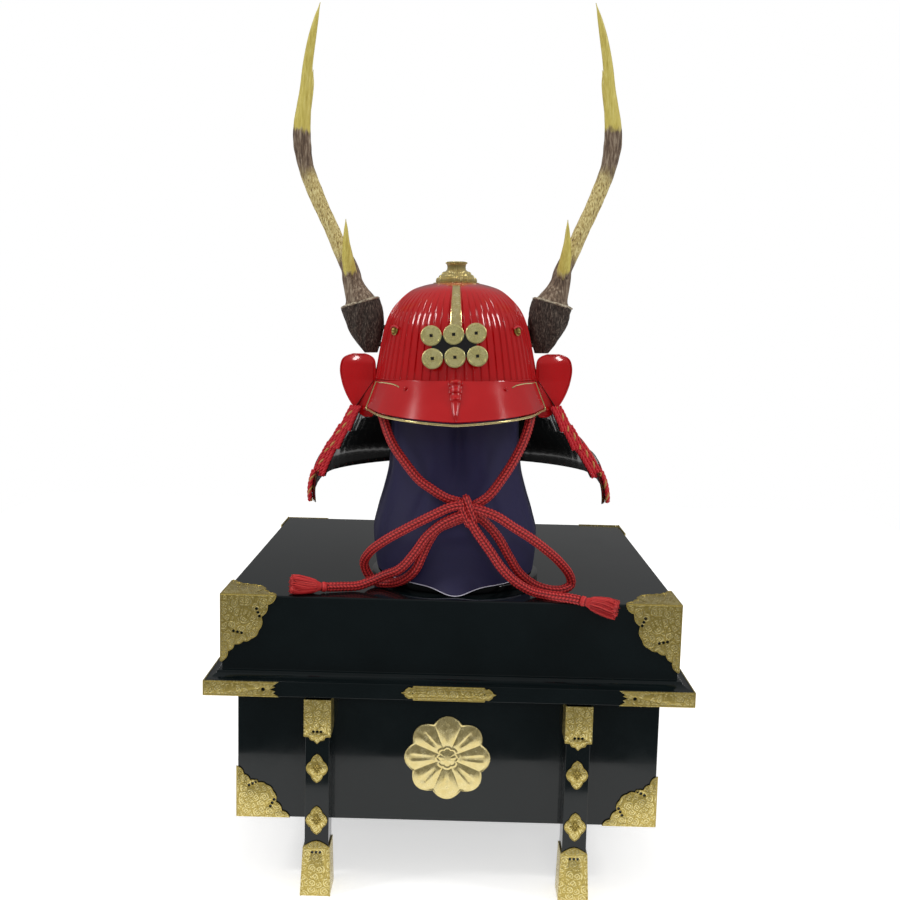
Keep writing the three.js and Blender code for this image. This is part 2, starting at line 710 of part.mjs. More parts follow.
// Wing: at is a share of the wing's height from its top, in and out shares of its width.
const wingSections = [
  { at: 0, in: 0.22, out: 0.7 }, { at: 0.05, in: 0.08, out: 0.87 }, { at: 0.14, in: 0.01, out: 0.97 },
  { at: 0.26, in: 0, out: 1 }, { at: 0.44, in: 0.01, out: 0.96 }, { at: 0.6, in: 0.03, out: 0.88 },
  { at: 0.75, in: 0.08, out: 0.77 }, { at: 0.88, in: 0.17, out: 0.6 }, { at: 1, in: 0.3, out: 0.4 },
];
const wingTop = rimHeight + wingRise;
const wingInner = guardTopRadius - wingLap;
const curlShare = 0.14;

function wing(side) {
  const rows = wingSections.length - 1;
  const faceAt = (back) => (u, v) => {
    const row = wingSections[Math.round(v * rows)];
    const share = THREE.MathUtils.lerp(row.in, row.out, u);
    const height = wingTop - wingHeight * row.at;
    const down = THREE.MathUtils.clamp((rimHeight - height) / (guardDrop * lames[0].low), 0, 1);
    const seat = lamePoint(0, lames[0].end - 1, down, lamePlate / 2).y;
    const curl = wingCurl * Math.max(0, 1 - row.at / curlShare);
    const place = seat + wingSweep * share * share + curl - wingPlate / 2 + back;
    return new THREE.Vector3(side * (wingInner + wingWidth * share), place, height);
  };
  return sheet({ columns: 4, rows, outer: faceAt(0), inner: faceAt(wingPlate) });
}

// Crown ornament: at is a share of its height, radius a share of its own radius.
const crownTiers = [
  { at: -0.04, radius: 1 }, { at: 0.2, radius: 0.95 }, { at: 0.22, radius: 0.82 }, { at: 0.36, radius: 0.78 },
  { at: 0.38, radius: 0.64 }, { at: 0.52, radius: 0.6 }, { at: 0.55, radius: 0.47 }, { at: 0.85, radius: 0.45 },
  { at: 0.92, radius: 0.52 }, { at: 1, radius: 0.46 },
];

function crownOrnament() {
  const seat = bowlTop + helmetGap;
  const tiers = crownTiers.map(({ at, radius }) => [crownRadius * radius, seat + crownHeight * at]);
  return turned([
    [crownBore, seat], [crownRadius * 0.75, seat - crownHeight * 0.04], ...tiers,
    [crownBore, seat + crownHeight * 0.98], [crownBore, seat],
  ], 18);
}

function frontStrip() {
  const crestTop = rimHeight + crestHeight + (coinRow / 2 + coinRadius) * Math.cos(crestTilt);
  const [low, high] = [bowlShareAt(crestTop - stripTuck), bowlShareAt(bowlTop - stripTopDrop)];
  const shares = [low, ...bowlSections.map(({ at }) => at).filter((at) => at > low && at < high), high];
  const rows = shares.length - 1;
  const faceAt = (lift) => (u, v) => {
    const at = shares[Math.round(v * rows)];
    const half = (stripWidth / 2) * (1 - 0.35 * (v ** 1.2));
    const radius = bowlRadius(at) + ridgeHeight + helmetGap + lift;
    const across = half * (2 * u - 1);
    return new THREE.Vector3(across, -bowlLength * Math.sqrt(radius ** 2 - across ** 2), rimHeight + bowlHeight * at);
  };
  return sheet({ columns: 2, rows, outer: faceAt(stripPlate), inner: faceAt(0) });
}

// Crest: a board with six square-holed coins in two rows, in the crest's own plane.
function crestBoardPlate() {
  return box(2 * coinPitch, crestBoard, coinRow, 0, -crestBoard / 2, 0);
}

function coin() {
  const disc = new THREE.Shape();
  disc.absarc(0, 0, coinRadius, 0, 2 * Math.PI);
  const half = coinHole / 2;
  disc.holes.push(new THREE.Path([
    new THREE.Vector2(-half, -half), new THREE.Vector2(-half, half),
    new THREE.Vector2(half, half), new THREE.Vector2(half, -half),
  ]));
  return closed(new THREE.ExtrudeGeometry(disc, { depth: coinPlate, bevelEnabled: false, curveSegments: 9 })
    .rotateX(Math.PI / 2));
}

// Antlers, for the right side. at is a share of the antler's rise, out of its spread, girth of its girth,
// back is in millimetres behind the block's place, and tilt is how steeply a section rises to the helmet.
const antlerSections = [
  { at: 0, out: 0.555, girth: 0.32, back: 0 }, { at: 0.045, out: 0.585, girth: 0.72, back: 0 },
  { at: 0.095, out: 0.604, girth: 0.98, back: 0, tilt: 0.18 },
  { at: 0.143, out: 0.626, girth: 1, back: 0, tilt: 0.28 },
  { at: 0.154, out: 0.628, girth: 0.97, back: 0, tilt: 0.28 },
  { at: 0.168, out: 0.64, girth: 0.74, back: 0, tilt: 0.22 },
  { at: 0.185, out: 0.656, girth: 0.6, back: 1, tilt: 0.1 }, { at: 0.21, out: 0.674, girth: 0.545, back: 2 },
  { at: 0.245, out: 0.69, girth: 0.48, back: 3 }, { at: 0.3, out: 0.748, girth: 0.42, back: 5 },
  { at: 0.365, out: 0.81, girth: 0.4, back: 8 },
  { at: 0.415, out: 0.862, girth: 0.4, back: 10 }, { at: 0.47, out: 0.915, girth: 0.42, back: 13 },
  { at: 0.545, out: 0.975, girth: 0.42, back: 15 }, { at: 0.615, out: 1, girth: 0.49, back: 15 },
  { at: 0.665, out: 0.998, girth: 0.46, back: 14 }, { at: 0.765, out: 0.968, girth: 0.33, back: 10 },
  { at: 0.83, out: 0.952, girth: 0.27, back: 6 }, { at: 0.9, out: 0.922, girth: 0.22, back: 2 },
  { at: 0.96, out: 0.888, girth: 0.12, back: -2 }, { at: 1, out: 0.862, girth: 0.03, back: -4 },
];
const browTine = [
  { at: 0.225, out: 0.682, girth: 0.38, back: -2 }, { at: 0.278, out: 0.697, girth: 0.31, back: -12 },
  { at: 0.322, out: 0.703, girth: 0.19, back: -17 }, { at: 0.387, out: 0.703, girth: 0.02, back: -20 },
];
const rearTine = [
  { at: 0.655, out: 0.995, girth: 0.34, back: 17 }, { at: 0.73, out: 0.972, girth: 0.26, back: 26 },
  { at: 0.79, out: 0.948, girth: 0.16, back: 30 }, { at: 0.832, out: 0.934, girth: 0.02, back: 32 },
];

function horn(rows, side, sides) {
  return stack(rows.map((row) => Array.from({ length: sides }, (_, i) => {
    const angle = (2 * Math.PI * i) / sides;
    const radius = antlerGirth * row.girth;
    return new THREE.Vector3(
      side * (antlerSpread * row.out + radius * Math.cos(angle)),
      antlerBack + row.back + radius * antlerOval * Math.sin(angle),
      rimHeight + antlerFoot + antlerRise * row.at - (row.tilt ?? 0) * radius * Math.cos(angle),
    );
  })));
}

// A bracket joins each antler's block to the side of the bowl, whose shape is cut from it with a gap.
function antler(side) {
  const reach = antlerSpread * antlerSections[1].out;
  const bracket = box(reach, mountWidth, mountHeight,
    (side * reach) / 2, antlerBack, rimHeight + antlerFoot + mountRise + mountHeight / 2);
  const whole = joined(bracket, horn(antlerSections, side, 10), horn(browTine, side, 6), horn(rearTine, side, 6));
  return cutFrom(whole, dome(2 * ridgeCount, 0, -(ridgeHeight + helmetGap), rimHeight));
}

// Cord: the routes are chosen by hand, in the part's own frame.
const chinRoute = [
  [11, -225, 487], [1, -225, 490], [-9, -225, 493], [-28, -224, 504], [-43, -220, 514], [-61, -212, 534], [-77, -203, 555],
  [-88, -190, 578], [-96, -172, 602], [-99, -148, 621], [-99, -115, 626], [-90, -66, 625], [-64, -28, 625],
  [-30, -12, 625], [0, -8, 625], [30, -12, 625], [62, -28, 625], [87, -66, 625], [96, -115, 626],
  [98, -148, 622], [96, -172, 606], [93, -192, 587], [86, -202, 565], [74, -211, 541], [58, -219, 516],
  [42, -225, 496], [22, -228, 483],
];
const leftLoopRoute = [
  [12, -238, 487], [-2, -240, 485], [-27, -240, 473], [-59, -237, 455], [-85, -229, 438], [-103, -216, 421], [-111, -204, 404],
  [-106, -198, 388], [-97, -199, 379.5], [-84, -205, 378.6], [-64, -215, 384.5], [-46, -225, 401],
  [-37, -226, 421], [-29, -226, 439], [-19, -226, 454], [1, -225, 464], [12, -226, 469],
];
const rightLoopRoute = [
  [20, -235, 484], [35, -239, 481], [54, -240, 474], [73, -239, 462], [92, -235, 450], [112, -229, 435], [133, -220, 416],
  [148, -211, 396], [150, -208, 384], [140, -214, 378.8], [123, -218, 379], [104, -215, 384], [84, -219, 400],
  [70, -224, 422], [55, -226, 447], [36, -226, 467], [22, -229, 476],
];
const leftTailRoute = [
  [12, -238, 476], [0, -240, 471], [-13, -240, 464], [-32, -239, 447], [-46, -236, 426], [-64, -230, 404], [-84, -222, 393],
  [-100, -221, 385], [-117, -224, 379.2], [-137, -229, 378.8], [-154, -234, 379.2],
];
const rightTailRoute = [
  [19, -236, 472], [26, -240, 459], [33, -241, 449], [47, -241, 430], [61, -239, 410], [78, -236, 393], [100, -237, 381],
  [123, -248, 379], [143, -257, 379], [156, -262, 378],
];
const knotPlace = [17, -232.5, 479];
const knotTurn = THREE.MathUtils.degToRad(-20);

const vectors = (route) => route.map(([x, y, z]) => new THREE.Vector3(x, y, z));

function bowKnot(margin) {
  const ball = new THREE.SphereGeometry(0.5, 10, 7).rotateX(Math.PI / 2);
  ball.scale(knotWidth + 2 * margin, knotDepth + 2 * margin, knotHeight + 2 * margin);
  return ball.rotateY(knotTurn);
}

// Each route starts or ends inside the knot, whose shape is cut from the cord with a gap.
function cord(route, steps) {
  return cutFrom(tube(vectors(route), cordDiameter, cordSides, steps), bowKnot(fitGap).translate(...knotPlace));
}

// A tassel: locks round a head, widening to the cut end; at runs along it, radius is a share of its own.
const tasselSections = [
  { at: 0, radius: 0.42 }, { at: 0.12, radius: 0.52 }, { at: 0.3, radius: 0.66 }, { at: 0.7, radius: 0.92 },
  { at: 0.95, radius: 1 }, { at: 1, radius: 0.8 },
];
const tasselLocks = 7;
const tasselFlat = 0.8;
const tasselLockDepth = 0.16;
const leftTasselDroop = THREE.MathUtils.degToRad(-8);
const rightTasselDroop = THREE.MathUtils.degToRad(8);

function tassel() {
  const sides = 2 * tasselLocks;
  return stack(tasselSections.map(({ at, radius }) => Array.from({ length: sides }, (_, i) => {
    const angle = (2 * Math.PI * i) / sides;
    const lock = i % 2 ? 1 - tasselLockDepth * at : 1;
    const reach = tasselRadius * radius * lock;
    return new THREE.Vector3(tasselLength * at, reach * Math.cos(angle), reach * tasselFlat * Math.sin(angle));
  })));
}

// Lays a tassel along the last stretch of a tail, a fit away from its end.
function placeTassel(name, route, droop) {
  const [before, last] = vectors(route.slice(-2));
  const way = last.clone().sub(before).setZ(0).normalize();
  const mesh = piece(name, tassel(), 'cord');
  mesh.position.copy(last).addScaledVector(way, 2 * fitGap);
  mesh.rotation.set(0, droop, Math.atan2(way.y, way.x), 'ZYX');
  return mesh;
}

// Assembly
const part = new THREE.Group();

const chest = new THREE.Group();
part.add(chest);
chest.add(piece('chest_body', chestBody(), 'lacquer'), piece('chest_lid', chestLid(), 'lacquer'));

const corners = [
  { name: 'front_left', x: -1, y: -1 }, { name: 'front_right', x: 1, y: -1 },
  { name: 'back_left', x: -1, y: 1 }, { name: 'back_right', x: 1, y: 1 },
];
const mirrored = (geometry, x, y) => closed(geometry.clone().scale(-x, -y, 1));

corners.forEach(({ name, x, y }) => {
  const standing = new THREE.Group();
  standing.position.set((x * legSpacing) / 2, y * (bodyDepth / 2 + fitGap), 0);
  standing.add(piece('leg_' + name, mirrored(leg(), x, y), 'lacquer'));
  standing.add(piece('leg_cap_' + name, mirrored(legCap(), x, y), 'gold'));
  standing.add(piece('leg_shoe_' + name, mirrored(legShoe(), x, y), 'gold'));
  chest.add(standing);
  const fittings = [
    ['lid_corner_', lidCorner(), lidWidth / 2, lidDepth / 2, chestHeight],
    ['lip_corner_', lipCorner(), lidWidth / 2 + lipReach, lidDepth / 2 + lipReach, lipBottom],
    ['base_corner_', baseCorner(), bodyWidth / 2, bodyDepth / 2, bodyClearance],
  ];
  fittings.forEach(([kind, geometry, across, along, height]) => {
    const mesh = piece(kind + name, mirrored(geometry, x, y), 'gold');
    mesh.position.set(x * across, y * along, height);
    chest.add(mesh);
  });
});

const centreStrip = piece('lip_centre_strip', closed(lipCentreStrip()), 'gold');
centreStrip.position.set(0, -(lidDepth / 2 + lipReach + fitGap), lipBottom + lipStripInset);
const rosette = piece('front_rosette', closed(frontRosette()), 'gold');
rosette.position.set(0, -(bodyDepth / 2 + fitGap), chestHeight - rosetteDrop);
chest.add(centreStrip, rosette);

const stand = new THREE.Group();
stand.position.set(standX, standY, chestHeight);
stand.add(piece('display_stand', displayStand(), 'black'), piece('stand_cloth', standCloth(), 'cloth'));
part.add(stand);

const helmet = new THREE.Group();
helmet.position.copy(stand.position);
helmet.rotation.y = -helmetLean;
part.add(helmet);
helmet.add(
  piece('helmet_bowl', helmetBowl(), 'red'),
  piece('visor', visor(), 'red'),
  piece('visor_rim', visorRim(), 'gold'),
  piece('crest_socket', crestSocket(), 'red'),
  piece('crown_ornament', crownOrnament(), 'gold'),
  piece('front_strip', frontStrip(), 'gold'),
  piece('antler_left', antler(-1), 'antler'),
  piece('antler_right', antler(1), 'antler'),
  piece(lames[0].name, joined(lame(0), wing(-1), wing(1)), 'red'),
);
lames.slice(1).forEach(({ name }, i) => helmet.add(piece(name, lame(i + 1), 'red')));

const crest = new THREE.Group();
const crestSeat = bowlLength * (bowlRadius(crestHeight / bowlHeight) + ridgeHeight) + crestStandoff;
crest.position.set(crestOffset, -crestSeat, rimHeight + crestHeight);
crest.rotation.set(crestTilt, -crestTurn, 0);
crest.add(piece('crest_plate', closed(crestBoardPlate()), 'black'));
[1, 0].forEach((row, r) => [-1, 0, 1].forEach((column, c) => {
  const mesh = piece('crest_coin_' + (r * 3 + c + 1), coin(), 'gold');
  mesh.position.set(column * coinPitch, -(crestBoard + fitGap), (row - 0.5) * coinRow);
  crest.add(mesh);
}));
helmet.add(crest);

part.add(
  piece('chin_cord', cord(chinRoute, 24), 'cord'),
  piece('bow_loop_left', cord(leftLoopRoute, 17), 'cord'),
  piece('bow_loop_right', cord(rightLoopRoute, 17), 'cord'),
  piece('bow_tail_left', cord(leftTailRoute, 11), 'cord'),
  piece('bow_tail_right', cord(rightTailRoute, 11), 'cord'),
  placeTassel('tassel_left', leftTailRoute, leftTasselDroop),
  placeTassel('tassel_right', rightTailRoute, rightTasselDroop),
);
const knot = piece('bow_knot', closed(bowKnot(0)), 'cord');
knot.position.set(...knotPlace);
part.add(knot);

export default part;
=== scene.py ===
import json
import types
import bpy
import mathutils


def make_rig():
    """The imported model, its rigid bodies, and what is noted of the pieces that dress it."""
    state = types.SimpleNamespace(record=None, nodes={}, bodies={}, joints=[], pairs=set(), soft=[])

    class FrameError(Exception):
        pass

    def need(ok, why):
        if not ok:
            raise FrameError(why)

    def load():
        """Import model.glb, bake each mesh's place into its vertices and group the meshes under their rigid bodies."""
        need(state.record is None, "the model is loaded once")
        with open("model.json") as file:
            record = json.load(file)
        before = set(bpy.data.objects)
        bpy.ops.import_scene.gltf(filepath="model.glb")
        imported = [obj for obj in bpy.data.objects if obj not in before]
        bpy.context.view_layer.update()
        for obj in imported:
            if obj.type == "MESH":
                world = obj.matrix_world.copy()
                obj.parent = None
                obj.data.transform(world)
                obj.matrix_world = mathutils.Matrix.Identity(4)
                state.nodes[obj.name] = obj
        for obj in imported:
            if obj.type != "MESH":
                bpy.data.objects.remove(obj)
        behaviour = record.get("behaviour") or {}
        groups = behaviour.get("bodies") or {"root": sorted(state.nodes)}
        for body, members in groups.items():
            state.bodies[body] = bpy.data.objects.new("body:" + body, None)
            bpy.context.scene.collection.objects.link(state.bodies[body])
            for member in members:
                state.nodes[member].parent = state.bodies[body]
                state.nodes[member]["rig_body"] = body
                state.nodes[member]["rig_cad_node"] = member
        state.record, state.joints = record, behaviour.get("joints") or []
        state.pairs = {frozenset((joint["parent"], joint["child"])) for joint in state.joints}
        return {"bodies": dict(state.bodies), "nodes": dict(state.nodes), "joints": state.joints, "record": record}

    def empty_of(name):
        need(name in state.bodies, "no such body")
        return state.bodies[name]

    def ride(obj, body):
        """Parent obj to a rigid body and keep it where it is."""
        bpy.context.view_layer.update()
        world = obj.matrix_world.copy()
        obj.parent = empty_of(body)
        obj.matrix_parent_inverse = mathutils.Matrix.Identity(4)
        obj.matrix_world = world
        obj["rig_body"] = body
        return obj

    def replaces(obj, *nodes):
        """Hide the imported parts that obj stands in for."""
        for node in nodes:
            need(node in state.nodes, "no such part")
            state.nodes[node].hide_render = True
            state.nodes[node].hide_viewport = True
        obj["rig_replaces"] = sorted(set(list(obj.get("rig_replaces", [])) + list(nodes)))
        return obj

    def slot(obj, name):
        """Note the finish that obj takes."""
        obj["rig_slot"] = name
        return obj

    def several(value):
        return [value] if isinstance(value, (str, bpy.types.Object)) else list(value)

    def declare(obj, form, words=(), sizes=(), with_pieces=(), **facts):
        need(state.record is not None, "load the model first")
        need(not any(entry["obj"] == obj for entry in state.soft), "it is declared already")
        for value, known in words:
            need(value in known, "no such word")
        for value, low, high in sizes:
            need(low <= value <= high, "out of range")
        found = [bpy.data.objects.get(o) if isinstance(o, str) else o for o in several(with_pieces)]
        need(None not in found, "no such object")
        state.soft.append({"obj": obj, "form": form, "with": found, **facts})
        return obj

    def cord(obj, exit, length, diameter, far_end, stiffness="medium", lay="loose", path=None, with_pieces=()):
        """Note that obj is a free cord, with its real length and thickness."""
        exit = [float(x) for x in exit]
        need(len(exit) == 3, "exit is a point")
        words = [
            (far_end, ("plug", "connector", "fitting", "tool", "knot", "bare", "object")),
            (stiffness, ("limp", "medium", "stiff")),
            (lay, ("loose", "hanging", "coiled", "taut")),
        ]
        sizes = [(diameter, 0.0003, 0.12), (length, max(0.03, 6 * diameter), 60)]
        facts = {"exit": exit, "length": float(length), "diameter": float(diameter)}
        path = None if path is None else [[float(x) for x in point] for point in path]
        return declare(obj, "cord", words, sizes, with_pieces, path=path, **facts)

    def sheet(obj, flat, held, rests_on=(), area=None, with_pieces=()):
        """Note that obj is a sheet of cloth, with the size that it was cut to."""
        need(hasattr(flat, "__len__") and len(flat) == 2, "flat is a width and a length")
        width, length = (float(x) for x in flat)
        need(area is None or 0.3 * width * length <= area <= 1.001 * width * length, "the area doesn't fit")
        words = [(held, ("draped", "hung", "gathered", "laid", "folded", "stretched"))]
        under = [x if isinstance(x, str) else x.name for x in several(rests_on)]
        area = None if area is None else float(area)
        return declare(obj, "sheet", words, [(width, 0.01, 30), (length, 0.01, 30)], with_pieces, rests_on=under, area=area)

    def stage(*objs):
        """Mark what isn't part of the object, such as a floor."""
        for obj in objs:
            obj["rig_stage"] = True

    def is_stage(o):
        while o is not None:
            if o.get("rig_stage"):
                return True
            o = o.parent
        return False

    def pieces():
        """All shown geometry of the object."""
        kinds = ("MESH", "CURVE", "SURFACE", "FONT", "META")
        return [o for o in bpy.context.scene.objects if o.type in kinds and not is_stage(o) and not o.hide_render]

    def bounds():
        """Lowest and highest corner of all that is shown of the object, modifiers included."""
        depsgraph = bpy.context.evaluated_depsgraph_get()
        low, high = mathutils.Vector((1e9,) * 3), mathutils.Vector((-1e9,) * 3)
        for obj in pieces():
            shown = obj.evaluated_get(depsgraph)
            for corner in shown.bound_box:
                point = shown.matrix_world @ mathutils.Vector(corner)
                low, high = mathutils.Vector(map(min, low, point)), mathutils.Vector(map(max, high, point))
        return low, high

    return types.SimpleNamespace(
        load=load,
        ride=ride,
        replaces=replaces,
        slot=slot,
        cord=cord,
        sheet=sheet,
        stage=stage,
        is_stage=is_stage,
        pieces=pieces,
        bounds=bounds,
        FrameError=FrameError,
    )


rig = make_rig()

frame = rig.load()
cad_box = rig.bounds()

# A red samurai helmet on a draped stand, on a black lacquer chest. Sizes are in millimetres, and MM turns
# them into Blender's metres. Helmet pieces are drawn in the helmet's own frame, which leans a little.
import json
import math
import random

import bmesh
import bpy
from mathutils import Matrix, Vector

MM = 0.001
LEAN = math.radians(1.1)
STAND = (4.0, -115.0, 372.0)
WORLD = Matrix.Identity(4)
HELMET = Matrix.Translation(STAND) @ Matrix.Rotation(-LEAN, 4, "Y")
SPAN_STEPS = 24


# Small tools for numbers and curves
def mix(low, high, share):
    return low + (high - low) * share


def clamp(value, low=0.0, high=1.0):
    return max(low, min(high, value))


def bell(distance):
    return math.exp(-distance * distance)


def table(columns, *rows):
    """Rows of numbers under named columns, such as table("at radius", (0, 1), (1, 0))."""
    names = columns.split()
    return [dict(zip(names, row)) for row in rows]


def read(rows, at, column):
    """A table's column at any place, on straight lines between its rows."""
    if at <= rows[0]["at"]:
        return rows[0][column]
    for low, high in zip(rows, rows[1:]):
        if at <= high["at"]:
            return mix(low[column], high[column], (at - low["at"]) / (high["at"] - low["at"]))
    return rows[-1][column]


def eased(rows, at, column):
    """A table's column at any place, on a smooth curve through its rows."""
    places = [row["at"] for row in rows]
    values = [row[column] for row in rows]
    if at <= places[0]:
        return values[0]
    if at >= places[-1]:
        return values[-1]
    i = next(k for k in range(len(rows) - 1) if at <= places[k + 1])

    def slope(k):
        if k == 0 or k == len(rows) - 1:
            return 0.0 if k else (values[1] - values[0]) / (places[1] - places[0])
        before = (values[k] - values[k - 1]) / (places[k] - places[k - 1])
        after = (values[k + 1] - values[k]) / (places[k + 1] - places[k])
        return 0.0 if before * after <= 0 else 2 * before * after / (before + after)

    step = places[i + 1] - places[i]
    t = (at - places[i]) / step
    return (values[i] * (2 * t**3 - 3 * t**2 + 1) + slope(i) * step * (t**3 - 2 * t**2 + t)
            + values[i + 1] * (3 * t**2 - 2 * t**3) + slope(i + 1) * step * (t**3 - t**2))


def curve_through(points, spacing, cyclic=False):
    """Points at an even spacing on one smooth curve through the given points."""
    knots = [Vector(point) for point in points]
    count = len(knots)
    if cyclic:
        around = [knots[-1]] + knots + [knots[0], knots[1]]
        spans = count
    else:
        around = [2 * knots[0] - knots[1]] + knots + [2 * knots[-1] - knots[-2]]
        spans = count - 1
    fine = []
    for k in range(spans):
        a, b, c, d = around[k:k + 4]
        t = [0.0]
        for first, second in ((a, b), (b, c), (c, d)):
            t.append(t[-1] + max((second - first).length, 1e-6) ** 0.5)
        for step in range(SPAN_STEPS):
            x = mix(t[1], t[2], step / SPAN_STEPS)
            ab = a * ((t[1] - x) / (t[1] - t[0])) + b * ((x - t[0]) / (t[1] - t[0]))
            bc = b * ((t[2] - x) / (t[2] - t[1])) + c * ((x - t[1]) / (t[2] - t[1]))
            cd = c * ((t[3] - x) / (t[3] - t[2])) + d * ((x - t[2]) / (t[3] - t[2]))
            left = ab * ((t[2] - x) / (t[2] - t[0])) + bc * ((x - t[0]) / (t[2] - t[0]))
            right = bc * ((t[3] - x) / (t[3] - t[1])) + cd * ((x - t[1]) / (t[3] - t[1]))
            fine.append(left * ((t[2] - x) / (t[2] - t[1])) + right * ((x - t[1]) / (t[2] - t[1])))
    fine.append(knots[0].copy() if cyclic else knots[-1].copy())
    along = [0.0]
    for first, second in zip(fine, fine[1:]):
        along.append(along[-1] + (second - first).length)
    steps = max(2, round(along[-1] / spacing))
    even = []
    k = 0
    for step in range(steps if cyclic else steps + 1):
        want = along[-1] * step / steps
        while k < len(fine) - 2 and along[k + 1] < want:
            k += 1
        share = (want - along[k]) / max(along[k + 1] - along[k], 1e-9)
        even.append(fine[k].lerp(fine[k + 1], clamp(share)))
    return even


def length_of(points):
    return sum((second - first).length for first, second in zip(points, points[1:]))


# Shader wiring
class Wire:
    """A socket whose arithmetic adds Math nodes to its finish."""

    def __init__(self, finish, socket):
        self.finish = finish
        self.socket = socket

    def math(self, operation, *others):
        return self.finish.node("ShaderNodeMath", {"operation": operation}, dict(enumerate((self, *others))))

    def __add__(self, other):
        return self.math("ADD", other)

    def __sub__(self, other):
        return self.math("SUBTRACT", other)

    def __rsub__(self, other):
        return self.finish.node("ShaderNodeMath", {"operation": "SUBTRACT"}, {0: other, 1: self})

    def __mul__(self, other):
        return self.math("MULTIPLY", other)


class Finish:
    """A material whose nodes are added by one method."""

    def __init__(self, name, color, roughness, metallic=0.0, **constants):
        self.material = bpy.data.materials.new(name)
        self.material.use_nodes = True
        self.material.diffuse_color = color
        self.tree = self.material.node_tree
        self.shader = self.tree.nodes["Principled BSDF"]
        self.set("Base Color", color)
        self.set("Roughness", roughness)
        self.set("Metallic", metallic)
        for socket, value in constants.items():
            self.set(socket.replace("_", " "), value)

    def set(self, socket, value):
        if isinstance(value, Wire):
            self.tree.links.new(value.socket, self.shader.inputs[socket])
        else:
            self.shader.inputs[socket].default_value = value

    def node(self, kind, settings=None, inputs=None, output=0):
        new = self.tree.nodes.new(kind)
        for key, value in (settings or {}).items():
            if key == "stops":
                ramp = new.color_ramp.elements
                while len(ramp) < len(value):
                    ramp.new(1.0)
                for element, (place, color) in zip(ramp, value):
                    element.position = place
                    element.color = color
            else:
                setattr(new, key, value)
        for key, value in (inputs or {}).items():
            if isinstance(value, Wire):
                self.tree.links.new(value.socket, new.inputs[key])
            else:
                new.inputs[key].default_value = value
        return Wire(self, new.outputs[output])

    def place(self):
        return self.node("ShaderNodeTexCoord", output=3)

    def painted(self, name, output=2):
        """A value that the mesh carries for each of its points."""
        return self.node("ShaderNodeAttribute", {"attribute_name": name}, output=output)

    def split(self, vector):
        parts = self.node("ShaderNodeSeparateXYZ", inputs={0: vector})
        outputs = parts.socket.node.outputs
        return [Wire(self, outputs[k]) for k in range(3)]

    def scaled(self, vector, factors):
        return self.node("ShaderNodeVectorMath", {"operation": "MULTIPLY"}, {0: vector, 1: factors})

    def noise(self, vector, scale, detail=4.0, roughness=0.55):
        return self.node("ShaderNodeTexNoise", inputs={
            "Vector": vector, "Scale": scale, "Detail": detail, "Roughness": roughness})

    def cells(self, vector, scale, feature="F1", output=0):
        return self.node("ShaderNodeTexVoronoi", {"feature": feature}, {"Vector": vector, "Scale": scale},
                         output)

    def ranged(self, value, low, high, to_low=0.0, to_high=1.0):
        return self.node("ShaderNodeMapRange", {"interpolation_type": "SMOOTHSTEP"},
                         {0: value, 1: low, 2: high, 3: to_low, 4: to_high})

    def ramp(self, value, *stops):
        return self.node("ShaderNodeValToRGB", {"stops": stops}, {0: value})

    def blended(self, factor, first, second):
        return self.node("ShaderNodeMix", {"data_type": "RGBA"}, {0: factor, 6: first, 7: second}, 2)

    def bumped(self, height, depth_mm, strength=1.0):
        return self.node("ShaderNodeBump", inputs={"Strength": strength, "Distance": depth_mm * MM,
                                                   "Height": height})


def linear(code):
    """A colour from its six hexadecimal digits, as Blender's linear values."""
    parts = [int(code[k:k + 2], 16) / 255 for k in (0, 2, 4)]
    return tuple(p / 12.92 if p <= 0.04045 else ((p + 0.055) / 1.055) ** 2.4 for p in parts) + (1.0,)


# Finishes
def black_lacquer():
    finish = Finish("black_lacquer", linear("0b1213"), 0.1, Coat_Weight=0.1, Coat_Roughness=0.03,
                    Specular_IOR_Level=0.3)
    smudge = finish.noise(finish.place(), 14.0, 5.0)
    finish.set("Roughness", finish.ranged(smudge, 0.35, 0.75, 0.07, 0.16))
    finish.set("Base Color", finish.blended(smudge, linear("080e0f"), linear("10191b")))
    finish.set("Normal", finish.bumped(finish.noise(finish.place(), 55.0, 2.0), 0.05, 0.25))
    return finish.material


def red_lacquer():
    finish = Finish("red_lacquer", linear("ae060d"), 0.16, Coat_Weight=0.5, Coat_Roughness=0.05,
                    Specular_IOR_Level=0.4)
    cloudy = finish.noise(finish.place(), 22.0, 4.0)
    finish.set("Base Color", finish.blended(cloudy, linear("a3040a"), linear("b8080f")))
    finish.set("Roughness", finish.ranged(cloudy, 0.3, 0.7, 0.12, 0.2))
    finish.set("Normal", finish.bumped(finish.noise(finish.place(), 120.0, 2.0), 0.05, 0.3))
    return finish.material


def lame_lacquer():
    finish = Finish("lame_lacquer", linear("0c0a0b"), 0.18, Coat_Weight=0.5, Coat_Roughness=0.06)
    cloudy = finish.noise(finish.place(), 40.0, 3.0)
    finish.set("Base Color", finish.blended(cloudy, linear("080708"), linear("17120f")))
    finish.set("Normal", finish.bumped(cloudy, 0.2, 0.3))
    return finish.material


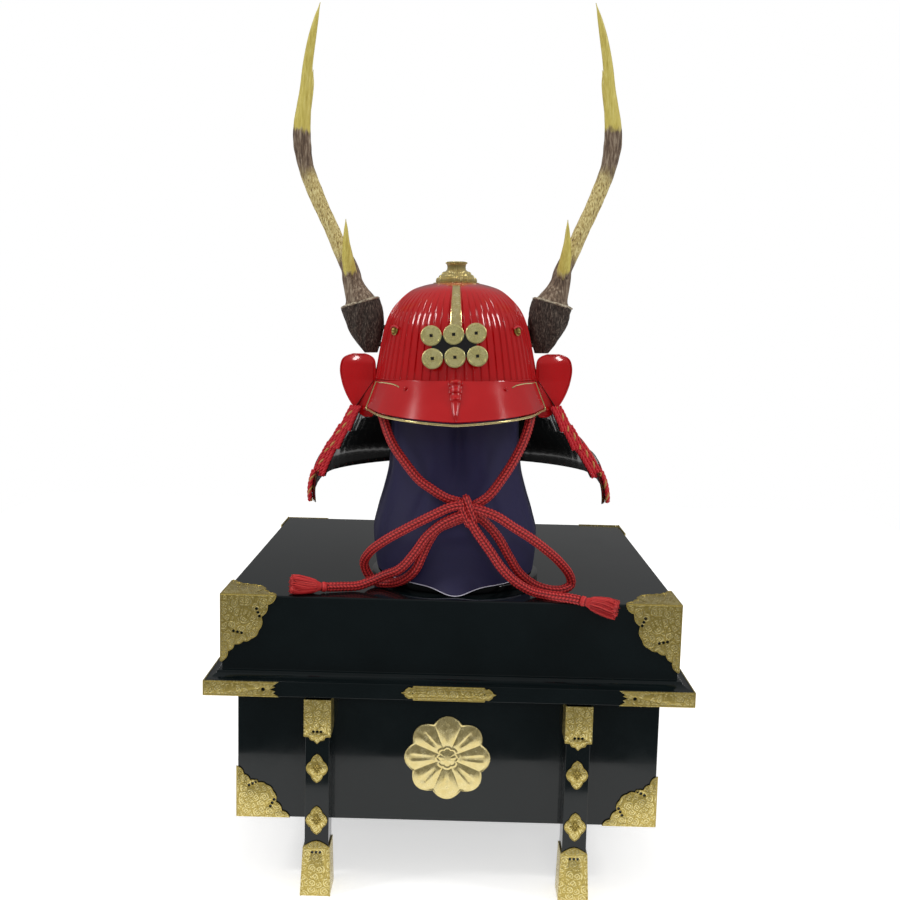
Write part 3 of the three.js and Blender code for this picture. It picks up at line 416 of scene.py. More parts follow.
def scroll_pattern(finish, place, cell_mm, line_mm):
    """Curling vines: a spiral in each cell, from 0 in the ground to 1 on a line, and the cell's edge."""
    scale = 1.0 / (cell_mm * MM)
    centre = finish.cells(place, scale, output=2)
    offset = finish.node("ShaderNodeVectorMath", {"operation": "SUBTRACT"}, {0: place, 1: centre})
    across, up, _ = finish.split(offset)
    reach = (across * across + up * up).math("SQRT")
    turn = up.math("ARCTAN2", across)
    winding = (reach * (2 * math.pi / (line_mm * MM)) + turn).math("SINE")
    leaf = (reach * (2 * math.pi / (line_mm * 1.7 * MM)) - turn * 3.0).math("SINE")
    edge = finish.cells(place, scale, "DISTANCE_TO_EDGE")
    inside = finish.ranged(edge, 0.02, 0.1)
    return finish.ranged(winding, -0.25, 0.45) * inside, finish.ranged(leaf, 0.3, 0.9) * inside


def engraved_gold():
    finish = Finish("engraved_gold", linear("d3c07a"), 0.34, 0.72)
    place = finish.painted("drawing", 1)
    vines, leaves = scroll_pattern(finish, place, 9.0, 2.6)
    dots = finish.cells(place, 1100.0)
    ground = finish.ranged(dots, 0.15, 0.6)
    relief = vines * 0.7 + leaves * 0.35 + ground * (1 - vines) * 0.25
    worn = finish.noise(place, 260.0, 4.0)
    shade = finish.ramp(relief, (0.0, linear("857337")), (0.35, linear("c5b160")), (1.0, linear("ece0a6")))
    finish.set("Base Color", finish.blended(worn * 0.35, shade, linear("b39d55")))
    finish.set("Roughness", finish.ranged(relief + worn * 0.3, 0.0, 1.0, 0.42, 0.2))
    finish.set("Normal", finish.bumped(relief, 0.28, 0.8))
    return finish.material


def bright_gold():
    finish = Finish("bright_gold", linear("dccb86"), 0.24, 0.75)
    cloudy = finish.noise(finish.place(), 180.0, 4.0)
    finish.set("Base Color", finish.blended(cloudy, linear("c2ab5f"), linear("ece0ad")))
    finish.set("Roughness", finish.ranged(cloudy, 0.3, 0.7, 0.14, 0.28))
    finish.set("Normal", finish.bumped(cloudy, 0.06, 0.4))
    return finish.material


def coin_gold():
    finish = Finish("coin_gold", linear("d9cf8e"), 0.3, 0.7)
    place = finish.painted("drawing", 1)
    across, up, _ = finish.split(place)
    reach = (across * across + up * up).math("SQRT")
    turned = (reach * 9000.0).math("SINE") * 0.5 + 0.5
    cloudy = finish.noise(finish.place(), 90.0, 4.0)
    finish.set("Base Color", finish.blended(cloudy, linear("c4b96c"), linear("efe7ac")))
    finish.set("Roughness", finish.ranged(cloudy + turned * 0.15, 0.3, 0.8, 0.2, 0.34))
    finish.set("Normal", finish.bumped(turned + cloudy * 2.0, 0.03, 0.4))
    return finish.material


def black_enamel():
    finish = Finish("black_enamel", linear("0a0b0d"), 0.12, Coat_Weight=0.4, Coat_Roughness=0.03)
    finish.set("Roughness", finish.ranged(finish.noise(finish.place(), 60.0), 0.3, 0.7, 0.08, 0.2))
    return finish.material


def silk(name, code, groove_shade_and_mottle, light, thread=None):
    """Braided or laced silk: the mesh carries each stitch's height, and the finish turns it into painted shade in the
    grooves and a painted highlight on the stitch crests.
    """
    finish = Finish(name, linear(code), 0.58, Sheen_Weight=0.05, Sheen_Roughness=0.4)
    finish.shader.inputs["Sheen Tint"].default_value = linear(light)
    weave = finish.painted("weave")
    fibre = finish.noise(finish.scaled(finish.place(), (1.0, 1.0, 0.4)), 2600.0, 2.0)
    broad = finish.noise(finish.place(), 60.0, 3.0)
    # Painted shade and highlight: the stitch height runs from the painted shade colour in the grooves to the painted
    # highlight colour on the crests.
    color = finish.ramp(weave + fibre * 0.35 - 0.15, (0.12, linear(groove_shade_and_mottle)), (0.6, linear(code)),
                        (1.0, linear(light)))
    color = finish.blended(broad * 0.3, color, linear(groove_shade_and_mottle))
    if thread:
        color = finish.blended(finish.painted("thread"), color, linear(thread))
    finish.set("Base Color", color)
    finish.set("Normal", finish.bumped(fibre, 0.12, 0.6))
    return finish.material


def indigo_cloth():
    finish = Finish("indigo_cloth", linear("24214a"), 0.7, Sheen_Weight=0.12, Sheen_Roughness=0.35)
    finish.shader.inputs["Sheen Tint"].default_value = linear("5a5690")
    place = finish.place()
    broad = finish.noise(place, 7.0, 4.0)
    across, _, up = finish.split(place)
    threads = (across * 5200.0).math("SINE") * (up * 5200.0).math("SINE") * 0.5 + 0.5
    slub = finish.noise(finish.scaled(place, (1.0, 1.0, 6.0)), 300.0, 3.0)
    finish.set("Base Color", finish.blended(broad * 0.6 + slub * 0.3, linear("1a1838"), linear("2f2b58")))
    finish.set("Roughness", finish.ranged(broad, 0.3, 0.7, 0.58, 0.78))
    finish.set("Normal", finish.bumped(threads * 0.6 + slub * 0.6, 0.12, 0.5))
    return finish.material


def silver_thread():
    finish = Finish("silver_thread", linear("d6d3e2"), 0.4)
    twist = finish.noise(finish.place(), 900.0, 2.0)
    finish.set("Base Color", finish.blended(twist, linear("a9a5bd"), linear("f2f0fa")))
    finish.set("Normal", finish.bumped(twist, 0.1, 0.5))
    return finish.material


def horn_skin():
    """Antler: brown rough bark that turns to smooth yellow towards each tip, by the mesh's tip value."""
    finish = Finish("horn_skin", linear("8a7050"), 0.6)
    place = finish.place()
    ragged = finish.noise(finish.scaled(place, (1.0, 1.0, 0.35)), 130.0, 5.0)
    tip = finish.painted("tip") + (ragged - 0.5) * 0.9
    pale = finish.painted("pale")
    grain = finish.noise(finish.scaled(place, (1.0, 1.0, 0.12)), 420.0, 5.0, 0.65)
    specks = finish.noise(finish.scaled(place, (1.0, 1.0, 0.3)), 620.0, 4.0)
    bark = finish.ramp(grain, (0.3, linear("2e2119")), (0.5, linear("6f5b49")), (0.72, linear("b3a48d")))
    golden = finish.ramp(specks, (0.3, linear("5a4430")), (0.44, linear("b09a5c")), (0.62, linear("dacd92")))
    horn = finish.ramp(grain, (0.2, linear("a89437")), (0.55, linear("cfc062")), (0.85, linear("e4dc9a")))
    body = finish.blended(finish.ranged(pale + (ragged - 0.5) * 0.5, 0.3, 0.7), bark, golden)
    tipped = finish.ranged(tip, 0.32, 0.62)
    finish.set("Base Color", finish.blended(tipped, body, horn))
    finish.set("Roughness", 0.72 - tipped * 0.34)
    finish.set("Normal", finish.bumped(grain * (1.1 - tipped), 0.9, 0.8))
    return finish.material


def horn_block():
    finish = Finish("horn_block", linear("3d322b"), 0.85)
    place = finish.place()
    hairs = finish.noise(finish.scaled(place, (1.0, 1.0, 0.25)), 700.0, 4.0, 0.7)
    finish.set("Base Color", finish.ramp(hairs, (0.35, linear("17110e")), (0.52, linear("40352e")),
                                         (0.75, linear("85776a"))))
    finish.set("Normal", finish.bumped(hairs, 0.8, 0.9))
    return finish.material


def burr_bone():
    finish = Finish("burr_bone", linear("9b8e76"), 0.6)
    grain = finish.noise(finish.place(), 420.0, 4.0)
    finish.set("Base Color", finish.ramp(grain, (0.35, linear("57483a")), (0.6, linear("b9ad95"))))
    finish.set("Normal", finish.bumped(grain, 0.4, 0.8))
    return finish.material


def stage_paper():
    finish = Finish("stage_paper", linear("f2f1ee"), 0.75, Emission_Strength=0.55)
    finish.shader.inputs["Emission Color"].default_value = linear("ffffff")
    grain = finish.noise(finish.place(), 60.0, 3.0)
    finish.set("Base Color", finish.blended(grain, linear("efeeeb"), linear("f5f4f2")))
    return finish.material


FINISH = {
    "lacquer": black_lacquer(),
    "red": red_lacquer(),
    "lame": lame_lacquer(),
    "engraved": engraved_gold(),
    "gold": bright_gold(),
    "coin": coin_gold(),
    "enamel": black_enamel(),
    # In each silk, the second colour is the painted shade in the stitch grooves, which also mottles it, and the third
    # is the painted highlight on the stitch crests, which also tints its sheen.
    "cord": silk("cord_silk", "b5101a", "3f0407", "e04a44"),
    "lacing": silk("lacing_silk", "c4101f", "56040b", "e03040", "b98a4c"),
    "tassel": silk("tassel_silk", "bd141d", "640a0f", "de4640"),
    "cloth": indigo_cloth(),
    "silver": silver_thread(),
    "horn": horn_skin(),
    "block": horn_block(),
    "burr": burr_bone(),
    "paper": stage_paper(),
}


# Mesh tools
def build(name, points, faces, finish, place=WORLD, flat_angle=40.0, paint=None):
    """One mesh object from points in millimetres. paint holds lists of values, one for each point."""
    mesh = bpy.data.meshes.new(name)
    mesh.from_pydata([(place @ Vector(point)) * MM for point in points], [], faces)
    for kind, values in (paint or {}).items():
        vector = hasattr(values[0], "__len__")
        layer = mesh.attributes.new(kind, "FLOAT_VECTOR" if vector else "FLOAT", "POINT")
        flat = [part for value in values for part in value] if vector else values
        layer.data.foreach_set("vector" if vector else "value", flat)
    mesh.materials.append(FINISH[finish])
    mesh.shade_smooth()
    mesh.set_sharp_from_angle(angle=math.radians(flat_angle))
    mesh.validate()
    made = bpy.data.objects.new(name, mesh)
    bpy.context.collection.objects.link(made)
    return made


def settle(made, slot, *nodes):
    """The piece rides with the whole object, takes its slot and stands for the CAD nodes."""
    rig.ride(made, "root")
    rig.slot(made, slot)
    if nodes:
        made.name = "fine_" + made.name.split(".")[0]
        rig.replaces(made, *nodes)
    return made


class Heap:
    """Points and faces that are gathered from several forms into one mesh."""

    def __init__(self):
        self.points = []
        self.faces = []
        self.paint = {}

    def add(self, points, faces, **paint):
        start = len(self.points)
        self.points.extend(Vector(point) for point in points)
        self.faces.extend(tuple(corner + start for corner in face) for face in faces)
        for kind, values in paint.items():
            known = self.paint.setdefault(kind, [])
            blank = (0.0, 0.0, 0.0) if hasattr(values[0], "__len__") else 0.0
            known.extend([blank] * (start - len(known)))
            known.extend(values)
        return self

    def build(self, name, finish, place=WORLD, flat_angle=40.0):
        for kind, known in self.paint.items():
            blank = (0.0, 0.0, 0.0) if hasattr(known[0], "__len__") else 0.0
            known.extend([blank] * (len(self.points) - len(known)))
        return build(name, self.points, self.faces, finish, place, flat_angle, self.paint)


def grid(across, down, place, wrap=False):
    """A net of place(u, v), u across and v down, both from 0 to 1."""
    wide = across if wrap else across + 1
    points = [place(i / across, j / down) for j in range(down + 1) for i in range(wide)]
    faces = []
    for j in range(down):
        for i in range(across):
            a, b = j * wide + i, j * wide + (i + 1) % wide
            faces.append((a, a + wide, b + wide, b))
    return points, faces


def shell(across, down, outer, inner, wrap=False):
    """A closed skin between two nets."""
    front, faces = grid(across, down, outer, wrap)
    back, _ = grid(across, down, inner, wrap)
    count = len(front)
    wide = across if wrap else across + 1
    faces = faces + [tuple(corner + count for corner in reversed(face)) for face in faces]
    for i in range(across):
        a, b = i, (i + 1) % wide
        faces.append((a, b, b + count, a + count))
        a, b = down * wide + i, down * wide + (i + 1) % wide
        faces.append((b, a, a + count, b + count))
    if not wrap:
        for j in range(down):
            a, b = j * wide, (j + 1) * wide
            faces.append((b, a, a + count, b + count))
            a, b = j * wide + across, (j + 1) * wide + across
            faces.append((a, b, b + count, a + count))
    return front + back, faces


def around(count):
    """The angles of an even ring."""
    return [2 * math.pi * k / count for k in range(count)]


def stacked(rings, closed=False):
    """A form through rings of points, capped at both ends or else closed on itself."""
    sides = len(rings[0])
    points = [point for ring in rings for point in ring]
    faces = []
    for k in range(len(rings) if closed else len(rings) - 1):
        low, high = k * sides, (k + 1) % len(rings) * sides
        for i in range(sides):
            j = (i + 1) % sides
            faces.append((low + i, low + j, high + j, high + i))
    if not closed:
        faces += [tuple(reversed(range(sides))), tuple(range(len(points) - sides, len(points)))]
    return points, faces


def lathe(profile, segments, radius_at=lambda turn, k: 0.0):
    """A turned form from (radius, height) pairs. radius_at(turn, k) adds to the radius of row k."""
    rings = []
    for k, (radius, height) in enumerate(profile):
        reaches = [(turn, radius + radius_at(turn, k)) for turn in around(segments)]
        rings.append([(reach * math.sin(turn), -reach * math.cos(turn), height) for turn, reach in reaches])
    return stacked(rings)


def frames_along(path, cyclic=False):
    """For each point of a path, two directions across it that turn as little as they can."""
    count = len(path)
    ways = []
    for k in range(count):
        before = path[k - 1] if cyclic or k else path[0]
        after = path[(k + 1) % count] if cyclic or k < count - 1 else path[-1]
        ways.append((after - before).normalized())
    side = ways[0].cross(Vector((0, 0, 1)))
    if side.length < 0.1:
        side = ways[0].cross(Vector((1, 0, 0)))
    side.normalize()
    frames = []
    for way in ways:
        side = (side - way * side.dot(way)).normalized()
        frames.append((side, way.cross(side)))
    return frames


def tube(path, sides, radius_at, cyclic=False):
    """A round tube. radius_at(turn, k) is the radius of ring k in millimetres."""
    rings = []
    for k, (centre, (side, other)) in enumerate(zip(path, frames_along(path, cyclic))):
        reaches = [(turn, radius_at(turn, k)) for turn in around(sides)]
        rings.append([centre + side * (reach * math.cos(turn)) + other * (reach * math.sin(turn))
                      for turn, reach in reaches])
    return stacked(rings, cyclic)


def rod(heap, path, radius, sides=8, cyclic=False, **paint):
    points, faces = tube([Vector(point) for point in path], sides, lambda turn, k: radius, cyclic)
    return heap.add(points, faces, **{kind: [value] * len(points) for kind, value in paint.items()})


def ball(heap, centre, radius, flat=1.0, sides=14, rows=8):
    """A small bead or rivet head."""
    points = []
    for j in range(1, rows):
        fall = math.pi * j / rows
        for i in range(sides):
            turn = 2 * math.pi * i / sides
            points.append(Vector(centre) + radius * Vector((
                math.sin(fall) * math.cos(turn), math.sin(fall) * math.sin(turn) * flat, math.cos(fall))))
    count = (rows - 1) * sides
    points += [Vector(centre) + Vector((0, 0, radius)), Vector(centre) - Vector((0, 0, radius))]
    faces = []
    for j in range(rows - 2):
        for i in range(sides):
            a, b = j * sides + i, j * sides + (i + 1) % sides
            faces.append((a, a + sides, b + sides, b))
    for i in range(sides):
        faces.append((count, i, (i + 1) % sides))
        low = (rows - 2) * sides
        faces.append((count + 1, low + (i + 1) % sides, low + i))
    return heap.add(points, faces)


def softened(name, node, finish, slot, width_mm, segments=3):
    """A CAD node's form with its flat faces made whole and its edges rounded."""
    work = bmesh.new()
    work.from_mesh(frame["nodes"][node].data)
    bmesh.ops.remove_doubles(work, verts=work.verts, dist=1e-6)
    bmesh.ops.dissolve_limit(work, angle_limit=math.radians(1.0), verts=work.verts, edges=work.edges)
    mesh = bpy.data.meshes.new(name)
    work.to_mesh(mesh)
    work.free()
    mesh.materials.clear()
    mesh.materials.append(FINISH[finish])
    made = bpy.data.objects.new(name, mesh)
    bpy.context.collection.objects.link(made)
    bevel = made.modifiers.new("rounded_edges", "BEVEL")
    bevel.width = width_mm * MM
    bevel.segments = segments
    bevel.limit_method = "ANGLE"
    bevel.angle_limit = math.radians(30)
    bevel.harden_normals = True
    mesh.shade_smooth()
    mesh.set_sharp_from_angle(angle=math.radians(50))
    return settle(made, slot, node)


# Camera: it stands where the photograph was taken from, level with the crown of the helmet.
CAMERA_PLACE = (1.4, -1502.2, 708.0)
CAMERA_YAW = math.radians(-0.33)
CAMERA_DROP = math.radians(6.93)
CAMERA_ROLL = math.radians(1.38)
CAMERA_LENS = 42.0
CAMERA_FILM = 36.0


def make_camera():
    ahead = Vector((math.sin(CAMERA_YAW) * math.cos(CAMERA_DROP),
                    math.cos(CAMERA_YAW) * math.cos(CAMERA_DROP), -math.sin(CAMERA_DROP)))
    level = Vector((math.cos(CAMERA_YAW), -math.sin(CAMERA_YAW), 0.0))
    rise = level.cross(ahead)
    right = level * math.cos(CAMERA_ROLL) + rise * math.sin(CAMERA_ROLL)
    up = rise * math.cos(CAMERA_ROLL) - level * math.sin(CAMERA_ROLL)
    lens = bpy.data.cameras.new("photo_camera")
    lens.lens = CAMERA_LENS
    lens.sensor_width = CAMERA_FILM
    lens.sensor_fit = "HORIZONTAL"
    lens.clip_end = 50.0
    camera = bpy.data.objects.new("photo_camera", lens)
    turned = Matrix((right, up, -ahead)).transposed().to_4x4()
    camera.matrix_world = Matrix.Translation(Vector(CAMERA_PLACE) * MM) @ turned
    bpy.context.collection.objects.link(camera)
    bpy.context.scene.camera = camera


make_camera()

# Cords: the routes are given in millimetres.
CORD = 12.0
CHIN_ROUTE = [
    (11, -225, 487), (1, -225, 490), (-9, -225, 493), (-28, -224, 504), (-43, -220, 514), (-61, -212, 534),
    (-77, -203, 555), (-88, -190, 578), (-96, -172, 602), (-99, -148, 621), (-99, -115, 626), (-90, -66, 625),
    (-64, -28, 625), (-30, -12, 625), (0, -8, 625), (30, -12, 625), (62, -28, 625), (87, -66, 625),
    (96, -115, 626), (98, -148, 622), (96, -172, 606), (93, -192, 587), (86, -202, 565), (74, -211, 541),
    (58, -219, 516), (42, -225, 496), (22, -228, 483),
]
LEFT_LOOP_ROUTE = [
    (12, -238, 487), (-2, -240, 485), (-27, -240, 473), (-59, -237, 455), (-85, -229, 438), (-103, -216, 421),
    (-111, -204, 404), (-106, -198, 388), (-97, -199, 379.5), (-84, -205, 378.6), (-64, -215, 384.5),
    (-46, -225, 401), (-37, -226, 421), (-29, -226, 439), (-19, -226, 454), (1, -225, 464), (12, -226, 469),
]
RIGHT_LOOP_ROUTE = [
    (20, -235, 484), (35, -239, 481), (54, -240, 474), (73, -239, 462), (92, -235, 450), (112, -229, 435),
    (133, -220, 416), (148, -211, 396), (150, -208, 384), (140, -214, 378.8), (123, -218, 379),
    (104, -215, 384), (84, -219, 400), (70, -224, 422), (55, -226, 447), (36, -226, 467), (22, -229, 476),
]
LEFT_TAIL_ROUTE = [
    (12, -238, 476), (0, -240, 471), (-13, -240, 464), (-32, -239, 447), (-46, -236, 426), (-64, -230, 404),
    (-84, -222, 393), (-100, -221, 385), (-117, -224, 379.2), (-137, -229, 378.8), (-154, -234, 379.2),
]
RIGHT_TAIL_ROUTE = [
    (19, -236, 472), (26, -240, 459), (33, -241, 449), (47, -241, 430), (61, -239, 410), (78, -236, 393),
    (100, -237, 381), (123, -248, 379), (143, -257, 379), (156, -262, 378),
]
CORD_RING = 0.95
CORD_SIDES = 40
BRAID_COLUMNS = 8
BRAID_PITCH = 4.4
BRAID_DEPTH = 1.1


def braid(turn, along):
    """Height of the herringbone braid, 0 in a groove and 1 on a stitch, and the same around and along."""
    column = turn / (2 * math.pi) * BRAID_COLUMNS
    share = column % 1.0
    slant = share if int(column) % 2 else 1 - share
    stitch = abs(math.sin(math.pi * (along / BRAID_PITCH + slant * 0.75)))
    return stitch**0.6 * math.sin(math.pi * clamp(share, 0.001, 0.999)) ** 0.5


def braided(heap, route, diameter=CORD, cyclic=False):
    """A braided cord along a route; gives back its ring centres."""
    path = curve_through(route, CORD_RING, cyclic)
    heights = []

    def reach(turn, k):
        height = braid(turn, k * CORD_RING)
        heights.append(height)
        return diameter / 2 - BRAID_DEPTH * (1 - height)

    points, faces = tube(path, CORD_SIDES, reach, cyclic)
    # The stitch heights also paint shade into the grooves and a highlight onto the stitches.
    heap.add(points, faces, weave=heights)
    return path


def make_cord(name, route, node):
    heap = Heap()
    path = braided(heap, route)
    made = settle(heap.build(name, "cord", flat_angle=180.0), "red_cord", node)
    print(name, "length", round(length_of(path)), "mm")
    return made, [tuple(point * MM) for point in path]


# The knot: two wraps of the same cord lie diagonally over a small core.
KNOT_CENTRE = Vector((17, -232.5, 479))
KNOT_TURN = math.radians(-30)
KNOT_HALF = 15.5
KNOT_DEPTH = 7.2
KNOT_SWAY = 1.5
KNOT_WRAP = 10.5
KNOT_CORE = 15.0
# How far each wrap lies to the side, and how much shorter it is
KNOT_WRAPS = ((-4.6, 0.0), (4.6, 1.0))


def make_knot():
    heap = Heap()
    turned = Matrix.Rotation(KNOT_TURN, 3, "Y")
    for shift, shorter in KNOT_WRAPS:
        ring = [KNOT_CENTRE + turned @ Vector((
            shift + KNOT_SWAY * math.sin(turn), -KNOT_DEPTH * math.cos(turn),
            (KNOT_HALF - shorter) * math.sin(turn))) for turn in around(14)]
        braided(heap, ring, KNOT_WRAP, cyclic=True)
    core = [KNOT_CENTRE + turned @ Vector((0, 1.0, height)) for height in (-13, -6, 0, 6, 13)]
    braided(heap, core, KNOT_CORE)
    return settle(heap.build("bow_knot", "cord", flat_angle=180.0), "red_cord", "bow_knot")


# Tassels: a bound head, a flared body of locks and loose threads.
TASSEL_LENGTH = 46.0
TASSEL_RADIUS = 15.0
TASSEL_FORM = table(
    "at radius", (0.0, 0.4), (0.03, 0.5), (0.1, 0.53), (0.14, 0.44), (0.2, 0.47), (0.32, 0.68), (0.55, 0.86),
    (0.8, 0.96), (0.95, 0.9), (1.0, 0.55),
)
TASSEL_FLAT = 0.8
TASSEL_THREADS = 150
TASSEL_BINDING = (0.06, 0.15)
TASSEL_LOCKS = 7
TASSEL_ROWS = 34
TASSEL_SIDES = 84


def make_tassel(name, route, droop, seed):
    rng = random.Random(seed)
    last, before = Vector(route[-1]), Vector(route[-2])
    way = last - before
    way.z = 0
    way.normalize()
    turned = Matrix.Rotation(math.atan2(way.y, way.x), 3, "Z") @ Matrix.Rotation(droop, 3, "Y")
    start = last + way * 0.6

    def place(at, reach, turn):
        return start + turned @ Vector((TASSEL_LENGTH * at, reach * math.cos(turn),
                                        TASSEL_FLAT * reach * math.sin(turn)))

    heap = Heap()
    rings, weave = [], []
    for j in range(TASSEL_ROWS + 1):
        at = j / TASSEL_ROWS
        base = TASSEL_RADIUS * eased(TASSEL_FORM, at, "radius")
        bound = TASSEL_BINDING[0] < at < TASSEL_BINDING[1]
        ring = []
        for turn in around(TASSEL_SIDES):
            strand = abs(math.sin(at * 170 if bound else 2 * TASSEL_LOCKS * turn + 2.5 * math.sin(3 * at)))
            lock = 0.5 + 0.5 * math.cos(TASSEL_LOCKS * turn + 0.6)
            reach = base * (1 - 0.1 * (1 - strand) - 0.13 * at * lock)
            ring.append(place(at * (1 - 0.05 * at * lock), reach, turn))
            weave.append(strand)
        rings.append(ring)
    # The strand pattern also paints shade into the grooves between strands and a highlight onto them.
    heap.add(*stacked(rings), weave=weave)
    for _ in range(TASSEL_THREADS):
        turn = rng.uniform(0, 2 * math.pi)
        spread = rng.uniform(0.9, 1.04)
        end = rng.uniform(0.86, 1.0)
        path = []
        for share in (0.2, 0.4, 0.6, 0.8, 1.0):
            at = mix(0.16, end, share)
            reach = TASSEL_RADIUS * eased(TASSEL_FORM, min(at, 0.92), "radius") * mix(0.97, spread, share)
            path.append(place(at, reach, turn + 0.12 * math.sin(4 * share + 9 * spread)))
        rod(heap, path, rng.uniform(0.32, 0.5), 4, weave=rng.uniform(0.25, 1.0))
    return settle(heap.build(name, "tassel", flat_angle=60.0), "red_cord", name)


LEFT_DROOP = math.radians(-8)
RIGHT_DROOP = math.radians(8)
# Lengths along the routes, in metres
CHIN_LENGTH = 0.8
LOOP_LEFT_LENGTH = 0.355
LOOP_RIGHT_LENGTH = 0.36
TAIL_LEFT_LENGTH = 0.21
TAIL_RIGHT_LENGTH = 0.19


def make_cords():
    knot = make_knot()
    tassels = {
        "left": make_tassel("tassel_left", LEFT_TAIL_ROUTE, LEFT_DROOP, 3),
        "right": make_tassel("tassel_right", RIGHT_TAIL_ROUTE, RIGHT_DROOP, 8),
    }
    chin, path = make_cord("chin_cord", CHIN_ROUTE, "chin_cord")
    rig.cord(chin, exit=path[0], length=CHIN_LENGTH, diameter=CORD * MM, far_end="knot", stiffness="limp",
            lay="loose", path=path, with_pieces=[knot])
    loops = [("left", LEFT_LOOP_ROUTE, LOOP_LEFT_LENGTH), ("right", RIGHT_LOOP_ROUTE, LOOP_RIGHT_LENGTH)]
    for side, route, length in loops:
        loop, path = make_cord("bow_loop_" + side, route, "bow_loop_" + side)
        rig.cord(loop, exit=path[0], length=length, diameter=CORD * MM, far_end="knot", stiffness="limp",
                lay="loose", path=path)
    tails = [("left", LEFT_TAIL_ROUTE, TAIL_LEFT_LENGTH), ("right", RIGHT_TAIL_ROUTE, TAIL_RIGHT_LENGTH)]
    for side, route, length in tails:
        tail, path = make_cord("bow_tail_" + side, route, "bow_tail_" + side)
        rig.cord(tail, exit=path[0], length=length, diameter=CORD * MM, far_end="fitting", stiffness="limp",
                lay="loose", path=path, with_pieces=[tassels[side]])


make_cords()

# Helmet bowl
RIM = 261.5
BOWL_WIDTH = 212.4
BOWL_HEIGHT = 126.7
BOWL_LENGTH = 1.1
BOWL_WALL = 3.0
BOWL_PLATES = 62
RIDGE = 1.4
BOWL_FORM = table("radius at", (1.0, 0.0), (0.908, 0.4), (0.866, 0.55), (0.804, 0.68), (0.724, 0.78),
                  (0.631, 0.86), (0.536, 0.92), (0.391, 0.965), (0.225, 0.992), (0.0, 1.0))
BOWL_TOP = RIM + BOWL_HEIGHT


def bowl_profile():
    """The bowl's smooth outline from its rim to its crown, as (radius, height) pairs."""
    ends = [Vector((row["radius"] * BOWL_WIDTH / 2, row["at"] * BOWL_HEIGHT, 0)) for row in BOWL_FORM]
    mirrored = Vector((-ends[-2].x, ends[-2].y, 0))
    line = curve_through(ends + [mirrored], 4.0)
    return [(point.x, point.y) for point in line if point.x > 0.5]


BOWL_LINE = bowl_profile()


def bowl_radius(height):
    """The bowl's smooth radius at a height in the helmet's frame, without its ridges."""
    up = height - RIM
    for (r0, h0), (r1, h1) in zip(BOWL_LINE, BOWL_LINE[1:]):
        if up <= h1:
            return mix(r0, r1, clamp((up - h0) / max(h1 - h0, 1e-6)))
    return BOWL_LINE[-1][0]


def on_helmet(turn, radius, height):
    """A place on the helmet's long round plan; turn runs from the front towards the right."""
    return Vector((radius * math.sin(turn), -BOWL_LENGTH * radius * math.cos(turn), height))


def on_bowl(turn, height, lift):
    return on_helmet(turn, bowl_radius(height) + lift, height)


# Across each plate of the bowl: a place, and the share of the ridge's height that it has
PLATE_STEPS = ((0.0, 1.0), (0.045, 0.35), (0.1, 0.0), (0.25, 0.18), (0.5, 0.3), (0.75, 0.18), (0.9, 0.0),
               (0.955, 0.35))


def make_bowl():
    steps = [((plate + place) * 2 * math.pi / BOWL_PLATES, rise)
             for plate in range(BOWL_PLATES) for place, rise in PLATE_STEPS]
    count, rows = len(steps), len(BOWL_LINE)
    points = []
    for radius, up in BOWL_LINE:
        fade = min(1.0, 4 * (1 - up / BOWL_HEIGHT)) * clamp(up / 2.5 + 0.55, 0.55)
        points += [on_helmet(turn, radius + RIDGE * fade * rise, RIM + up) for turn, rise in steps]
    points += [on_helmet(turn, 0.4, BOWL_TOP) for turn, _ in steps]
    for radius, up in (BOWL_LINE[0], BOWL_LINE[rows // 2]):
        points += [on_helmet(turn, radius - BOWL_WALL, RIM + up) for turn, _ in steps]
    faces = []
    inside = (rows + 1) * count
    for i in range(count):
        j = (i + 1) % count
        faces += [(k * count + i, k * count + j, (k + 1) * count + j, (k + 1) * count + i)
                  for k in range(rows)]
        faces.append((j, i, inside + i, inside + j))
        faces.append((inside + j, inside + i, inside + count + i, inside + count + j))
    heap = Heap().add(points, faces)
    rod(heap, [on_bowl(turn, RIM + 3.0, RIDGE * 0.9) for turn in around(96)], 1.1, 8, cyclic=True)
    settle(heap.build("helmet_bowl", "red", HELMET, 25.0), "red_lacquer", "helmet_bowl")


KNOB_TURNS = (-53.5, 53.5, -126.5, 126.5)
KNOB_HEIGHT = RIM + 64.0
KNOB_RADIUS = 3.6
KNOB_RING = 5.2


def make_knobs():
    """Four knobs on the bowl, each a rivet in a ring with a short loop of cord."""
    metal, loops = Heap(), Heap()
    for degrees in KNOB_TURNS:
        turn = math.radians(degrees)
        seat = on_bowl(turn, KNOB_HEIGHT, RIDGE)
        out = Vector((math.sin(turn), -math.cos(turn), 0.25)).normalized()
        side = Vector((math.cos(turn), math.sin(turn), 0))
        up = out.cross(side) * -1
        ball(metal, seat + out * 1.6, KNOB_RADIUS)
        ring = [seat + out * 0.8 + side * (KNOB_RING * math.cos(t)) + up * (KNOB_RING * math.sin(t))
                for t in around(20)]
        rod(metal, ring, 1.0, 6, cyclic=True)
        loop = [seat + out * (1.6 + 1.5 * math.sin(math.pi * k / 8)) + side * mix(-9, 9, k / 8)
                + up * (-2.5 - 3 * math.sin(math.pi * k / 8)) for k in range(9)]
        rod(loops, curve_through(loop, 1.0), 1.3, 6, weave=0.6)
    settle(metal.build("bowl_knobs", "engraved", HELMET), "engraved_gold")
    settle(loops.build("bowl_knob_cords", "lacing", HELMET), "red_cord")


make_bowl()
make_knobs()

